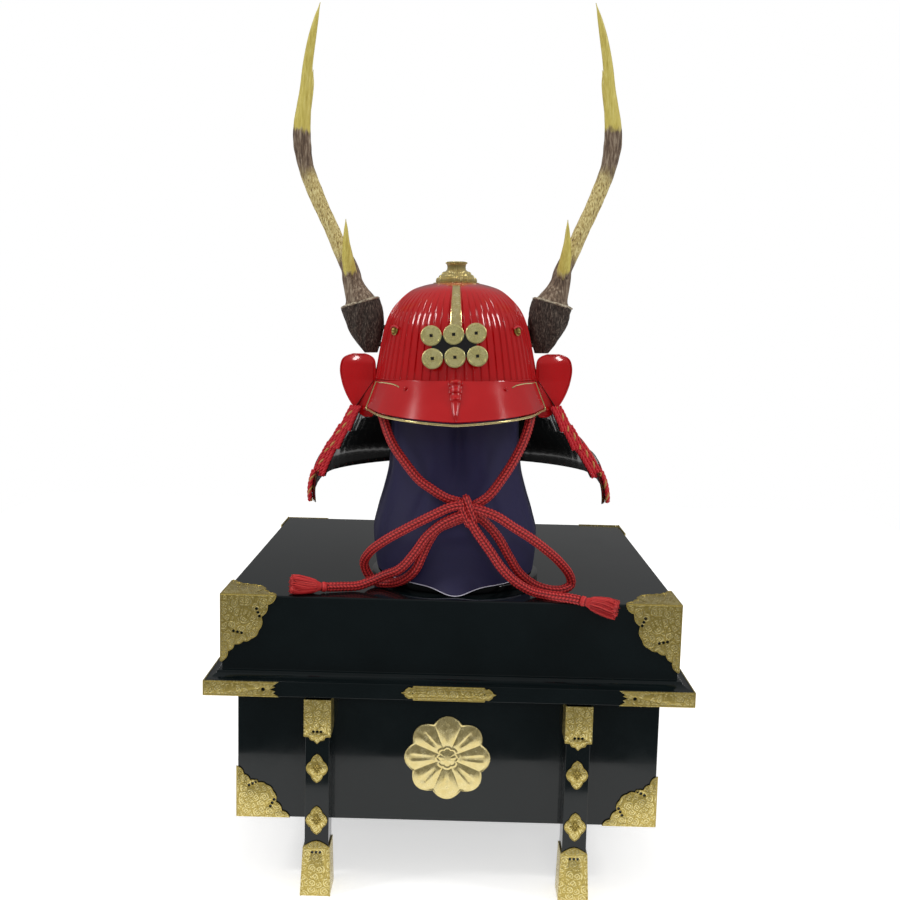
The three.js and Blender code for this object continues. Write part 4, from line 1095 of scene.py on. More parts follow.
# Visor: the top edge follows the bowl, the lower edge stands out, and its two ends are flats past a crease.
HELMET_GAP = 0.4
VISOR_SEAT = 0.8
VISOR_PLATE = 2.5
VISOR_REACH = 30.0
VISOR_DROP = 42.4
VISOR_END = math.radians(65)
VISOR_TOP_RISE = 4.5
VISOR_END_RISE = 10.0
VISOR_CREASE = 0.72
VISOR_RADIUS = BOWL_WIDTH / 2 + RIDGE + VISOR_SEAT + VISOR_PLATE


def visor_edge(side, low):
    turn = side * VISOR_END
    if not low:
        return on_helmet(turn, VISOR_RADIUS, RIM + VISOR_TOP_RISE * math.cos(turn) ** 2)
    reach = VISOR_REACH * math.cos(turn * 0.79) ** 2
    point = on_helmet(turn * 1.04, VISOR_RADIUS + reach, 0)
    point.z = RIM - VISOR_DROP + VISOR_END_RISE * abs(side) ** 1.1
    return point


def visor_point(side, down, inset):
    """side runs from -1 at the left end to 1 at the right end, down from 0 at the bowl to 1."""
    lower = visor_edge(side, True)
    if abs(side) > VISOR_CREASE:
        sign = math.copysign(1.0, side)
        share = (abs(side) - VISOR_CREASE) / (1 - VISOR_CREASE)
        lower = visor_edge(VISOR_CREASE * sign, True).lerp(visor_edge(sign, True), share)
    point = visor_edge(side, False).lerp(lower, down)
    turn = math.atan2(point.x, -point.y / BOWL_LENGTH)
    return point - inset * Vector((math.sin(turn), -math.cos(turn), 0.55)).normalized()


def make_visor():
    half = 28
    flats = 10
    sides = [-1 + (1 - VISOR_CREASE) * k / flats for k in range(flats)]
    sides += [mix(-VISOR_CREASE, VISOR_CREASE, k / (2 * half)) for k in range(2 * half + 1)]
    sides += [-side for side in reversed(sides[:flats])]
    last = len(sides) - 1

    def face(inset):
        return lambda u, v: visor_point(sides[round(u * last)], v, inset)

    made = build("visor", *shell(last, 12, face(0.0), face(VISOR_PLATE)), "red", HELMET, 22.0)
    settle(made, "red_lacquer", "visor")


def make_visor_rim():
    """A gold rim round the visor's free edges, with a thin line that curls inward at each top corner."""
    heap = Heap()
    middle = VISOR_PLATE / 2
    out = 2.1 + VISOR_PLATE / 4

    def sideways(side, down, away):
        end, near = visor_point(side, down, middle), visor_point(0.9 * side, down, middle)
        return end + (end - near).normalized() * away

    def up_side(side):
        return [sideways(side, down, out) for down in (0.02, 0.3, 0.6)] + [
            sideways(side, 0.9, out * 1.25), sideways(side, 1 + out / VISOR_DROP, out * 1.1)]

    low = [visor_point(mix(-1, 1, k / 24), 1 + (out + 0.3) / VISOR_DROP, middle) for k in range(1, 24)]
    path = curve_through(up_side(-1) + low + list(reversed(up_side(1))), 2.0)
    rod(heap, path, 1.5, 10)
    for sign in (-1, 1):
        curl = [(1.0, 0.04), (0.92, 0.06), (0.82, 0.06), (0.72, 0.08), (0.63, 0.12), (0.56, 0.19)]
        line = [visor_point(sign * side, down, -0.1) for side, down in curl]
        rod(heap, curve_through(line, 1.5), 0.75, 8)
    settle(heap.build("visor_rim", "gold", HELMET), "engraved_gold", "visor_rim")


VISOR_RIVETS = ((-0.48, 0.22), (0.48, 0.22))


def make_visor_rivets():
    heap = Heap()
    for side, down in VISOR_RIVETS:
        ball(heap, visor_point(side, down, -0.6), 2.6)
    settle(heap.build("visor_rivets", "red", HELMET), "red_lacquer")


SOCKET = table(
    "at width proud", (0.0, 11, 2.5), (0.03, 14.5, 8.2), (0.1, 14.5, 9.2), (0.14, 12.5, 6.2), (0.2, 12, 6.0),
    (0.24, 13.2, 8.4), (0.3, 13, 8.2), (0.34, 10.8, 4.8), (0.42, 11, 5.2), (0.47, 10.4, 6.2),
    (0.52, 8.8, 3.6), (0.7, 6.2, 2.6), (0.88, 3.6, 1.9), (0.97, 1.4, 0.6),
)


def make_socket():
    """The crest's socket: ribs across its head, then a keel that runs out to a point with a rivet."""
    heap = Heap()

    def place(lift):
        def at(u, v):
            down = v * SOCKET[-1]["at"]
            across = 2 * u - 1
            rise = HELMET_GAP + (eased(SOCKET, down, "proud") * (1 - across**2) ** 0.5 if lift else 0.0)
            point = visor_point(0.0, down + 0.01, 0.0)
            return point + Vector((across * eased(SOCKET, down, "width") * 0.6, -rise, rise * 0.5))
        return at

    heap.add(*shell(16, 72, place(True), place(False)))
    ball(heap, visor_point(0.0, 0.86, 0.0) + Vector((0, -2.2, 1.2)), 1.9)
    settle(heap.build("crest_socket", "red", HELMET, 50.0), "red_lacquer", "crest_socket")


make_visor()
make_visor_rim()
make_visor_rivets()
make_socket()

# Neck guard: five lames with lacing on the outside
GUARD_REACH = 195.0
GUARD_DROP = 158.5
GUARD_LIFT = 26.0
GUARD_CORNER = (65.0, 96.0)
LAME_PLATE = 2.5
LAME_LAP = 6.0
LAME_GAP = 0.9
LACE_PITCH = 7.6
LAMES = [
    dict(name="top_lame", low=0.245, reach=0.314, lift=0.0, swell=0.6, sway=0.0, end=103),
    dict(name="lame_2", low=0.405, reach=0.467, lift=0.2, swell=1.0, sway=0.0, end=102),
    dict(name="lame_3", low=0.555, reach=0.651, lift=0.4, swell=1.0, sway=0.0, end=100),
    dict(name="lame_4", low=0.785, reach=0.925, lift=0.85, swell=1.2, sway=3.2, end=97),
    dict(name="lame_5", low=1.0, reach=1.0, lift=1.0, swell=2.5, sway=4.5, end=97),
]
GUARD_TOP_RADIUS = BOWL_WIDTH / 2 + RIDGE + HELMET_GAP + LAME_PLATE
GUARD_FLARE = GUARD_REACH - GUARD_TOP_RADIUS


def lame_edge(index, low):
    """Radius, height, lift and sway of a lame's lower or upper edge."""
    row = LAMES[index]
    if low:
        return (GUARD_TOP_RADIUS + GUARD_FLARE * row["reach"], RIM - GUARD_DROP * row["low"],
                GUARD_LIFT * row["lift"], row["sway"])
    if index == 0:
        return GUARD_TOP_RADIUS, RIM, 0.0, 0.0
    above, above_top = lame_edge(index - 1, True), lame_edge(index - 1, False)
    share = LAME_LAP / (above_top[1] - above[1])
    radius = mix(above[0], above_top[0], share) + LAME_PLATE + LAME_GAP
    return (radius + LAMES[index - 1]["swell"] * 4 * share, above[1] + LAME_LAP, above[2],
            mix(above[3], above_top[3], share))


def lame_point(index, degrees, down, inset):
    """A place on a lame; degrees run from the back towards the right."""
    top, low = lame_edge(index, False), lame_edge(index, True)
    swell = LAMES[index]["swell"] * 4 * down * (1 - down)
    lifted = 1 - clamp((abs(degrees) - GUARD_CORNER[0]) / (GUARD_CORNER[1] - GUARD_CORNER[0])) ** 2
    height = mix(top[1] + top[2] * lifted, low[1] + low[2] * lifted, down)
    point = on_helmet(math.pi - math.radians(degrees), mix(top[0], low[0], down) + swell - inset, height)
    point.x += mix(top[3], low[3], down)
    return point


EDGE_TURN = 4.5
EDGE_DEPTH = (0.0, 9.0, 10.5, 11.5, 4.0)
EDGE_START = 1.5


def lame_face(index, degrees, down, inset):
    """The same place on a lame whose two front edges curl inwards, apart from the top one."""
    past = abs(degrees) - LAMES[index]["end"] + EDGE_START
    curl = EDGE_DEPTH[index] * clamp(past / (EDGE_TURN + EDGE_START)) ** 1.6
    return lame_point(index, degrees, down, inset + curl)


LACE_THICK = 1.5
LACE_STEPS = 18
# How many degrees stay without lacing at each end of a lame, and of the top one
BARE_END = 2.5
BARE_TOP_END = 11.0
# The cords down each front edge: degrees past the lame's end, and how many of their strands are gold
EDGE_CORDS = ((-0.4, 0), (1.6, 1), (3.2, 0), (4.5, 0))


def lame_plate(heap, index):
    """The lacquered plate, with the upright grooves between its scales on the inside."""
    end = LAMES[index]["end"] + (EDGE_TURN if index else 0.0)
    scales = 46

    def outer(u, v):
        return lame_face(index, end * (2 * u - 1), v, LACE_THICK * 0.8)

    def inner(u, v):
        groove = abs(math.sin(math.pi * scales * u)) ** 0.4
        return lame_face(index, end * (2 * u - 1), v, LAME_PLATE - 0.35 + 0.35 * groove)

    heap.add(*shell(scales * 4, 8, outer, inner))


def lace(heap, index, degrees, width, from_down, to_down, thread=0.0):
    """One upright lace: a soft rounded strip with slanting stitches."""
    points, weave, gold = [], [], []
    radius = lame_edge(index, True)[0]
    half = math.degrees(width / 2 / radius)
    for k in range(LACE_STEPS + 1):
        down = mix(from_down, to_down, k / LACE_STEPS)
        pinch = 1 - 0.35 * (math.exp(-k / 1.2) + math.exp(-(LACE_STEPS - k) / 1.2))
        for j in range(7):
            across = j / 3 - 1
            stitch = abs(math.sin(math.pi * (k / 2 + 0.5 * abs(across))))
            lift = LACE_THICK * (1 - across**2) ** 0.5 * (0.8 + 0.2 * stitch) * pinch
            points.append(lame_face(index, degrees + half * across * pinch, down, LACE_THICK * 0.85 - lift))
            # Painted shade: darker between the stitches and towards the lace's edges, with a painted highlight on the
            # stitch crests.
            weave.append(0.25 + 0.75 * stitch * (1 - 0.5 * abs(across)))
            gold.append(thread if stitch > 0.85 and abs(across) < 0.7 else 0.0)
    faces = []
    for k in range(LACE_STEPS):
        for j in range(6):
            a = k * 7 + j
            faces.append((a, a + 1, a + 8, a + 7))
    heap.add(points, faces, weave=weave, thread=gold)


def twisted(heap, path, radius, strands=3, pitch=11.0, gold=1):
    """A cord twisted from a few strands, of which some are gold thread."""
    path = curve_through(path, 1.1)
    frames = frames_along(path)
    for strand in range(strands):
        line = []
        for k, (centre, (side, other)) in enumerate(zip(path, frames)):
            turn = 2 * math.pi * (strand / strands + k * 1.1 / pitch)
            line.append(centre + (side * math.cos(turn) + other * math.sin(turn)) * radius * 0.5)
        thread = 0.9 if strand < gold else 0.0
        rod(heap, line, radius * 0.56, 7, weave=0.65, thread=thread)


def make_lame(index):
    row = LAMES[index]
    plates = Heap()
    lame_plate(plates, index)
    lacing = Heap()
    radius = lame_edge(index, True)[0]
    pitch = math.degrees(LACE_PITCH / (radius * 1.05))
    count = int((row["end"] - (BARE_END if index else BARE_TOP_END)) / pitch)
    first = 0.0 if index == 0 else 0.1
    last = 0.94 if index < 4 else 0.86
    for k in range(-count, count + 1):
        lace(lacing, index, k * pitch, LACE_PITCH * 0.9, first, last, 1.0 if k % 4 == 0 else 0.0)
    if index:
        for sign in (-1, 1):
            for past, gold in EDGE_CORDS if index < 4 else EDGE_CORDS[:2]:
                path = [lame_face(index, sign * (row["end"] + past), down, -0.9 - 1.6 * down)
                        for down in (0.0, 0.25, 0.5, 0.75, 0.99)]
                twisted(lacing, path, 2.7, pitch=17.0, gold=gold)
    if index == 4:
        for down, gold in ((0.89, 1), (0.93, 0)):
            cross = [lame_point(index, row["end"] * mix(-0.985, 0.985, k / 60), down, 0.6) for k in range(61)]
            twisted(lacing, cross, 1.7, gold=gold)
    settle(plates.build(row["name"], "lame", HELMET, 30.0), "laced_lame", row["name"])
    settle(lacing.build(row["name"] + "_lacing", "lacing", HELMET, 60.0), "red_cord")


for index in range(len(LAMES)):
    make_lame(index)

# Turned-back wings
WING_HEIGHT = 79.0
WING_WIDTH = 47.0
WING_PLATE = 3.0
WING_SWEEP = 20.0
WING_TOP = RIM + 33.0
WING_INNER = GUARD_TOP_RADIUS - 6.0
WING = table(
    "at near far", (0.0, 0.3, 0.62), (0.05, 0.08, 0.87), (0.14, 0.01, 0.97), (0.26, 0.0, 1.0),
    (0.44, 0.0, 0.95), (0.6, 0.0, 0.85), (0.75, 0.0, 0.71), (0.88, 0.0, 0.55), (0.97, 0.04, 0.4),
    (1.0, 0.1, 0.3),
)


def make_wing(name, sign):
    def face(back):
        def at(u, v):
            row = v**1.3 if v < 0.3 else mix(0.3**1.3, 1.0, (v - 0.3) / 0.7)
            share = mix(eased(WING, row, "near"), eased(WING, row, "far"), u)
            height = WING_TOP - WING_HEIGHT * row
            down = clamp((RIM - height) / (GUARD_DROP * LAMES[0]["low"]))
            seat = lame_point(0, LAMES[0]["end"] - 1, down, LAME_PLATE / 2).y
            curl = 5.0 * max(0.0, 1 - row / 0.14) ** 1.5
            rounded = 1 - 0.8 * abs(2 * u - 1) ** 26
            bulge = 1.6 * math.sin(math.pi * clamp(u)) * math.sin(math.pi * clamp(row))
            middle = seat + WING_SWEEP * share * share + curl
            offset = WING_PLATE / 2 * rounded * (1 if back else -1)
            return Vector((sign * (WING_INNER + WING_WIDTH * share), middle + offset - bulge, height))
        return at

    heap = Heap()
    points, faces = shell(20, 34, face(False), face(True))
    heap.add(points, faces if sign > 0 else [tuple(reversed(corners)) for corners in faces])
    edge = [face(False)(u, v) + Vector((0, -0.4, 0)) for u, v in
            [(0.0, k / 16) for k in range(16)] + [(k / 6, 1.0) for k in range(6)]
            + [(1.0, 1 - k / 16) for k in range(16)] + [(1 - k / 8, 0.0) for k in range(8)]]
    rod(heap, curve_through(edge, 2.5, cyclic=True), 1.25, 8, cyclic=True)
    ball(heap, face(False)(0.55, 0.9) + Vector((0, -1.0, 0)), 2.2)
    settle(heap.build(name, "red", HELMET, 50.0), "red_lacquer", "top_lame")


make_wing("wing_left", -1)
make_wing("wing_right", 1)

# Crown ornament: tiers with flutes, each tier with its own count, over a ring of petals
CROWN_HEIGHT = 26.0
CROWN_RADIUS = 27.0
CROWN = table(
    "at radius depth count", (-0.04, 0.8, 0.0, 60), (-0.04, 0.96, 0.0, 60), (0.0, 1.0, 0.05, 60),
    (0.1, 0.99, 0.05, 60), (0.2, 0.95, 0.05, 60), (0.22, 0.84, 0.0, 48), (0.25, 0.86, 0.04, 48),
    (0.3, 0.84, 0.05, 48), (0.35, 0.78, 0.04, 48), (0.37, 0.7, 0.0, 40), (0.4, 0.72, 0.04, 40),
    (0.45, 0.7, 0.05, 40), (0.5, 0.64, 0.04, 40), (0.52, 0.54, 0.0, 24), (0.56, 0.5, 0.0, 24),
    (0.6, 0.46, 0.03, 24), (0.72, 0.44, 0.04, 24), (0.84, 0.46, 0.03, 24), (0.87, 0.47, 0.0, 32),
    (0.9, 0.52, 0.03, 32), (0.95, 0.53, 0.04, 32), (0.99, 0.49, 0.02, 32), (1.0, 0.42, 0.0, 32),
    (0.97, 0.345, 0.0, 32), (0.5, 0.335, 0.0, 32),
)
CROWN_PETALS = 24


def make_crown():
    seat = BOWL_TOP + HELMET_GAP
    profile = [(CROWN_RADIUS * row["radius"], seat + CROWN_HEIGHT * row["at"]) for row in CROWN]

    def flute(turn, k):
        row = CROWN[k]
        return -CROWN_RADIUS * 1.9 * row["depth"] * (1 - abs(math.cos(turn * row["count"] / 2)) ** 0.7)

    heap = Heap()
    points, faces = lathe(profile, 480, flute)
    heap.add(points, faces[:-1])
    for k in range(CROWN_PETALS):
        turn = 2 * math.pi * (k + 0.5) / CROWN_PETALS
        petal = []
        for across, out in ((-1, 0), (1, 0), (1, 4.4), (0, 7.0), (-1, 4.4)):
            reach = CROWN_RADIUS * 0.86 + out
            height = BOWL_TOP - 0.35 - 0.055 * (reach / 10) ** 3
            spin = turn + across * 2.7 / reach
            petal.append(Vector((reach * math.sin(spin), -reach * math.cos(spin), height)))
        heap.add(*stacked([petal, [point + Vector((0, 0, 0.9)) for point in petal]]))
    settle(heap.build("crown_ornament", "gold", HELMET, 35.0), "engraved_gold", "crown_ornament")


make_crown()

# Crest: six square-holed coins on a black board, and the gold strip above them
STRIP_WIDTH = 14.0
STRIP_PLATE = 1.2
STRIP_LOW = 331.5
STRIP_HIGH = BOWL_TOP - 5.5
COIN_PITCH = 27.3
COIN_ROW = 28.3
COIN_HOLE = 4.0
BOARD = 2.0
BOARD_CORNER = 2.0
HOLE_BACKING = 9.0
CREST_HEIGHT = 307.2
CREST_OFFSET = -1.9
CREST_STANDOFF = 1.05
CREST_TURN = math.radians(3.5)
CREST_TILT = math.radians(-13)


def make_strip():
    def face(lift):
        def at(u, v):
            height = mix(STRIP_LOW, STRIP_HIGH, v)
            across = STRIP_WIDTH / 2 * (1 - 0.35 * v**1.2) * (2 * u - 1)
            crown = 1 - 0.7 * abs(2 * u - 1) ** 4
            radius = bowl_radius(height) + RIDGE + (lift * crown if lift else -0.8)
            return Vector((across, -BOWL_LENGTH * (radius**2 - across**2) ** 0.5, height))
        return at

    heap = Heap().add(*shell(10, 30, face(STRIP_PLATE + HELMET_GAP), face(0.0)))
    for u in (0.1, 0.9):
        rod(heap, [face(STRIP_PLATE + HELMET_GAP)(u, v / 20) for v in range(21)], 0.6, 6)
    settle(heap.build("front_strip", "gold", HELMET), "engraved_gold", "front_strip")


def crest_place():
    bowl_share = (CREST_HEIGHT - RIM) / BOWL_HEIGHT
    straight = read(sorted(BOWL_FORM, key=lambda row: row["at"]), bowl_share, "radius") * BOWL_WIDTH / 2
    seat = BOWL_LENGTH * (straight + RIDGE) + CREST_STANDOFF
    turn = Matrix.Rotation(CREST_TILT, 4, "X") @ Matrix.Rotation(-CREST_TURN, 4, "Y")
    return HELMET @ Matrix.Translation((CREST_OFFSET, -seat, CREST_HEIGHT)) @ turn


# A coin's rings as (place, height): first by how far they lie outside the square hole, then by radius
HOLE_RINGS = ((0.0, 0.0), (0.0, 1.5), (0.35, 1.8), (1.0, 1.8), (1.35, 1.35))
FACE_RINGS = ((6.0, 1.35), (10.6, 1.35), (11.0, 1.75), (12.1, 1.8), (12.7, 1.35), (12.7, 0.2), (12.5, 0.0))
COIN_TURNS = 64


def coin(shift):
    """One coin with a raised rim and a raised lip round its square hole, and its drawing for the finish."""
    rings = []
    for square, steps in ((True, HOLE_RINGS), (False, FACE_RINGS)):
        for out, height in steps:
            ring = []
            for turn in around(COIN_TURNS):
                across, up = math.cos(turn), math.sin(turn)
                reach = (COIN_HOLE / 2 + out) / max(abs(across), abs(up)) if square else out
                ring.append(Vector((reach * across, -height, reach * up)))
            rings.append(ring)
    points, faces = stacked(rings, closed=True)
    drawing = [(point.x * MM, point.z * MM, 0.0) for point in points]
    return Heap().add([point + shift for point in points], faces, drawing=drawing)


def make_crest():
    place = crest_place()
    places = [(column * COIN_PITCH, row * COIN_ROW) for row in (0.5, -0.5) for column in (-1, 0, 1)]
    half, tall, cut = COIN_PITCH, COIN_ROW / 2, BOARD_CORNER
    outline = [(-half, -tall + cut), (-half + cut, -tall), (half - cut, -tall), (half, -tall + cut),
               (half, tall - cut), (half - cut, tall), (-half + cut, tall), (-half, tall - cut)]
    board = Heap().add(*stacked([[Vector((x, y, z)) for x, z in outline] for y in (0.0, -BOARD)]))
    for x, z in places:
        board.add(*stacked([[Vector((x + HOLE_BACKING * math.cos(t), y, z + HOLE_BACKING * math.sin(t)))
                             for t in around(24)] for y in (-BOARD + 0.6, -BOARD - 0.25)]))
    settle(board.build("crest_plate", "enamel", place, 30.0), "crest_black", "crest_plate")
    for number, (x, z) in enumerate(places, 1):
        name = "crest_coin_%d" % number
        settle(coin(Vector((x, -BOARD - 0.3, z))).build(name, "coin", place, 40.0), "coin_gold", name)


make_strip()
make_crest()

# Antlers
ANTLER_RISE = 445.0
ANTLER_SPREAD = 204.0
ANTLER_GIRTH = 24.0
ANTLER_FOOT = 296.0
ANTLER_BACK = 15.0
BEAM = table(
    "at out girth back tip pale", (0.15, 0.625, 0.88, 0, 0.0, 0.3), (0.161, 0.633, 0.79, 0, 0.0, 0.2),
    (0.173, 0.644, 0.69, 0, 0.0, 0.1), (0.188, 0.658, 0.6, 1, 0.0, 0.1), (0.21, 0.674, 0.545, 2, 0.0, 0.2),
    (0.245, 0.69, 0.48, 3, 0.0, 0.2), (0.3, 0.748, 0.42, 5, 0.0, 0.7), (0.365, 0.81, 0.4, 8, 0.0, 0.85),
    (0.415, 0.862, 0.4, 10, 0.0, 0.8), (0.47, 0.915, 0.42, 13, 0.0, 0.75),
    (0.545, 0.975, 0.42, 15, 0.0, 0.35), (0.615, 1.0, 0.49, 15, 0.1, 0.0), (0.665, 0.998, 0.46, 14, 0.6, 0.0),
    (0.72, 0.982, 0.39, 12, 0.85, 0.0), (0.765, 0.968, 0.33, 10, 0.9, 0.0), (0.83, 0.952, 0.27, 6, 1.0, 0.0),
    (0.9, 0.922, 0.22, 2, 1.0, 0.0), (0.96, 0.888, 0.12, -2, 1.0, 0.0), (1.0, 0.862, 0.02, -4, 1.0, 0.0),
)
BROW = table(
    "at out girth back tip pale", (0.215, 0.678, 0.4, 0, 0.1, 0.4), (0.235, 0.685, 0.37, -5, 0.4, 0.3),
    (0.278, 0.697, 0.31, -12, 1.0, 0.0), (0.322, 0.703, 0.19, -17, 1.0, 0.0),
    (0.36, 0.703, 0.1, -19, 1.0, 0.0), (0.387, 0.703, 0.02, -20, 1.0, 0.0),
)
REAR = table(
    "at out girth back tip pale", (0.64, 0.996, 0.36, 15, 0.1, 0.0), (0.69, 0.988, 0.32, 21, 0.4, 0.0),
    (0.73, 0.972, 0.26, 26, 0.8, 0.0), (0.79, 0.948, 0.16, 30, 1.0, 0.0), (0.832, 0.934, 0.02, 32, 1.0, 0.0),
)


def horn(heap, rows, sign, sides, spacing, seed):
    """One tapering branch with long ridges in its bark."""
    rng = random.Random(seed)
    ridges = [(rng.randint(3, 11), rng.uniform(0, 6.28), rng.uniform(1.5, 6.0)) for _ in range(7)]
    knots = [(sign * ANTLER_SPREAD * row["out"], ANTLER_BACK + row["back"],
              ANTLER_FOOT + ANTLER_RISE * row["at"]) for row in rows]
    path = curve_through(knots, spacing)
    shares = [(point.z - ANTLER_FOOT) / ANTLER_RISE for point in path]
    tips, pales = [], []

    def reach(turn, k):
        at = shares[k]
        tip = eased(rows, at, "tip")
        tips.append(tip)
        pales.append(eased(rows, at, "pale"))
        bark = sum(math.sin(count * turn + phase + wind * 6 * at) for count, phase, wind in ridges) / 7
        knobs = math.sin(5 * turn + 90 * at) * math.sin(3 * turn - 61 * at)
        rough = (1 - tip) * (0.045 * bark + 0.03 * knobs) + 0.008 * bark
        return max(0.25, ANTLER_GIRTH * eased(rows, at, "girth") * (1 + rough))

    points, faces = tube(path, sides, reach)
    heap.add(points, faces, tip=tips, pale=pales)


BLOCK = table(
    "at out wide deep", (0.0, 0.555, 8.5, 7.5), (0.03, 0.574, 14.5, 13.5), (0.06, 0.59, 19.0, 17.0),
    (0.095, 0.604, 22.6, 20.5), (0.125, 0.618, 23.6, 21.5), (0.145, 0.626, 23.8, 21.8),
)
BLOCK_TILT = 0.28
BLOCK_INNER = 0.2
BLOCK_SIDES = 56
BLOCK_SQUARE = 3.4
BLOCK_ROWS = 24
BRACKET_RADIUS = 3.2
BRACKET_RODS = ((-5.4, 306), (5.4, 306), (-5.4, 328), (5.4, 328))
BRACKET_START = 84.0
BRACKET_END = ANTLER_SPREAD * 0.585
# The burr's rings: the seed of its roughness, how far it stands out past the block, and its height over it
BURR_RINGS = ((1.2, -0.3, -0.6), (1.3, 0.7, 0.4), (1.4, 0.6, 1.6), (1.5, -1.5, 2.6), (1.6, -6.0, 3.6))


def make_antler(name, sign, seed):
    beam = Heap()
    horn(beam, BEAM, sign, 44, 1.8, seed)
    horn(beam, BROW, sign, 28, 1.6, seed + 1)
    horn(beam, REAR, sign, 28, 1.6, seed + 2)
    rng = random.Random(seed + 5)
    waves = [(rng.randint(2, 13), rng.uniform(0, 6.28)) for _ in range(6)]

    def ring(row, share, grow=0.0, lift=0.0):
        loop = []
        for turn in around(BLOCK_SIDES):
            square = sum(abs(part) ** BLOCK_SQUARE for part in (math.cos(turn), math.sin(turn)))
            rough = 1 + 0.022 * sum(math.sin(n * turn + phase + 9 * share) for n, phase in waves)
            size = square ** (-1 / BLOCK_SQUARE) * rough
            across = (row["wide"] + grow) * size * math.cos(turn)
            if across < 0:
                across *= 1 + BLOCK_INNER * math.sin(math.pi * clamp(row["at"] / 0.15)) ** 0.7
            deep = (row["deep"] + grow) * size * math.sin(turn)
            height = ANTLER_FOOT + ANTLER_RISE * row["at"] - BLOCK_TILT * across * clamp(row["at"] / 0.143)
            loop.append(Vector((sign * (ANTLER_SPREAD * row["out"] + across), ANTLER_BACK + deep,
                                height + lift)))
        return loop

    rows = []
    for k in range(BLOCK_ROWS + 1):
        at = BLOCK[-1]["at"] * k / BLOCK_ROWS
        rows.append({"at": at, **{column: eased(BLOCK, at, column) for column in ("out", "wide", "deep")}})
    block = Heap().add(*stacked([ring(row, row["at"] * 8) for row in rows]))
    for back, height in BRACKET_RODS:
        rod(block, [(sign * BRACKET_START, ANTLER_BACK + back, height + 2),
                    (sign * BRACKET_END, ANTLER_BACK + back, height)], BRACKET_RADIUS, 10)
    burr = Heap().add(*stacked([ring(rows[-1], *step) for step in BURR_RINGS]))
    settle(beam.build(name, "horn", HELMET, 70.0), "antler_horn", name)
    settle(block.build(name + "_block", "block", HELMET, 60.0), "antler_horn")
    settle(burr.build(name + "_burr", "burr", HELMET, 60.0), "antler_horn")


make_antler("antler_left", -1, 21)
make_antler("antler_right", 1, 34)

# Stand and cloth
STAND_HEIGHT = 382.4
# The stand's outline as (radius, height): a broad foot, a straight post and a padded head
STAND_FORM = [(0.0, 0.3), (108.5, 0.3), (110.6, 1.0), (111.0, 3.0), (111.0, 7.5), (109.6, 9.4),
              (107.0, 10.6), (98.0, 12.8), (78.0, 15.0), (60.0, 18.0), (44.0, 22.0), (30.0, 29.0),
              (22.0, 36.0), (22.0, 240.0),
              (36.0, 256.0), (64.0, 275.0), (73.0, 302.0), (70.8, 329.0), (60.6, 353.5), (41.6, 371.0),
              (20.4, 378.4), (0.0, 382.2)]


def leaning(point):
    """The post and the cloth lean with the helmet, while the foot stays flat."""
    return Vector((point.x - math.tan(LEAN) * max(0.0, point.z) + STAND[0], point.y + STAND[1],
                   point.z + STAND[2]))


def make_stand():
    points, faces = lathe([(max(radius, 0.2), height) for radius, height in STAND_FORM], 96)
    points = [leaning(Vector(point)) for point in points]
    settle(build("display_stand", points, faces, "enamel", flat_angle=35.0), "stand_black", "display_stand")


CLOTH_TOP = STAND_HEIGHT + 2.3
CLOTH_WIDTH = 220.0
CLOTH_HEM = 14.6
CLOTH_FRONT_DROP = 5.5
CLOTH_TIP_HEIGHT = 1.4
CLOTH_TIP_REACH = 22.0
CLOTH_DEPTH = 0.94
PLEAT = 17.0
CLOTH_FORM = table(
    "at width", (0.0, 0.945), (0.07, 0.985), (0.13, 1.0), (0.2, 0.955), (0.28, 0.88), (0.36, 0.82),
    (0.5, 0.785), (0.7, 0.77), (0.8, 0.765), (0.88, 0.73), (0.94, 0.6), (0.98, 0.37), (1.0, 0.02),
)
# turn, slant and spread in degrees, depth as a share of the pleat's depth, low and high as heights
CLOTH_FOLDS = table(
    "turn slant spread depth low high", (3, 0, 9, 1.0, 0.22, 0.8), (-38, 0, 14, 0.35, 0.1, 0.6),
    (44, 0, 14, 0.35, 0.1, 0.6), (-78, 0, 12, 0.3, 0.05, 0.7), (84, 0, 12, 0.3, 0.05, 0.7),
    (-125, 0, 13, 0.45, 0.05, 0.7), (128, 0, 13, 0.45, 0.05, 0.7), (176, 0, 12, 0.8, 0.1, 0.75),
    (-27, 70, 5, 0.3, 0.16, 0.36), (30, -74, 5, 0.3, 0.15, 0.36), (-20, 34, 6, -0.22, 0.24, 0.5),
    (24, -36, 6, -0.22, 0.24, 0.5), (-58, 30, 4, 0.12, 0.08, 0.3), (63, -26, 4, 0.12, 0.1, 0.34),
    (-100, 10, 5, 0.16, 0.05, 0.4), (104, -12, 5, 0.16, 0.05, 0.42), (150, 14, 6, 0.2, 0.05, 0.5),
    (-152, -12, 6, 0.2, 0.05, 0.5), (-12, 5, 4, 0.1, 0.3, 0.7), (17, -6, 4, 0.12, 0.35, 0.75),
)


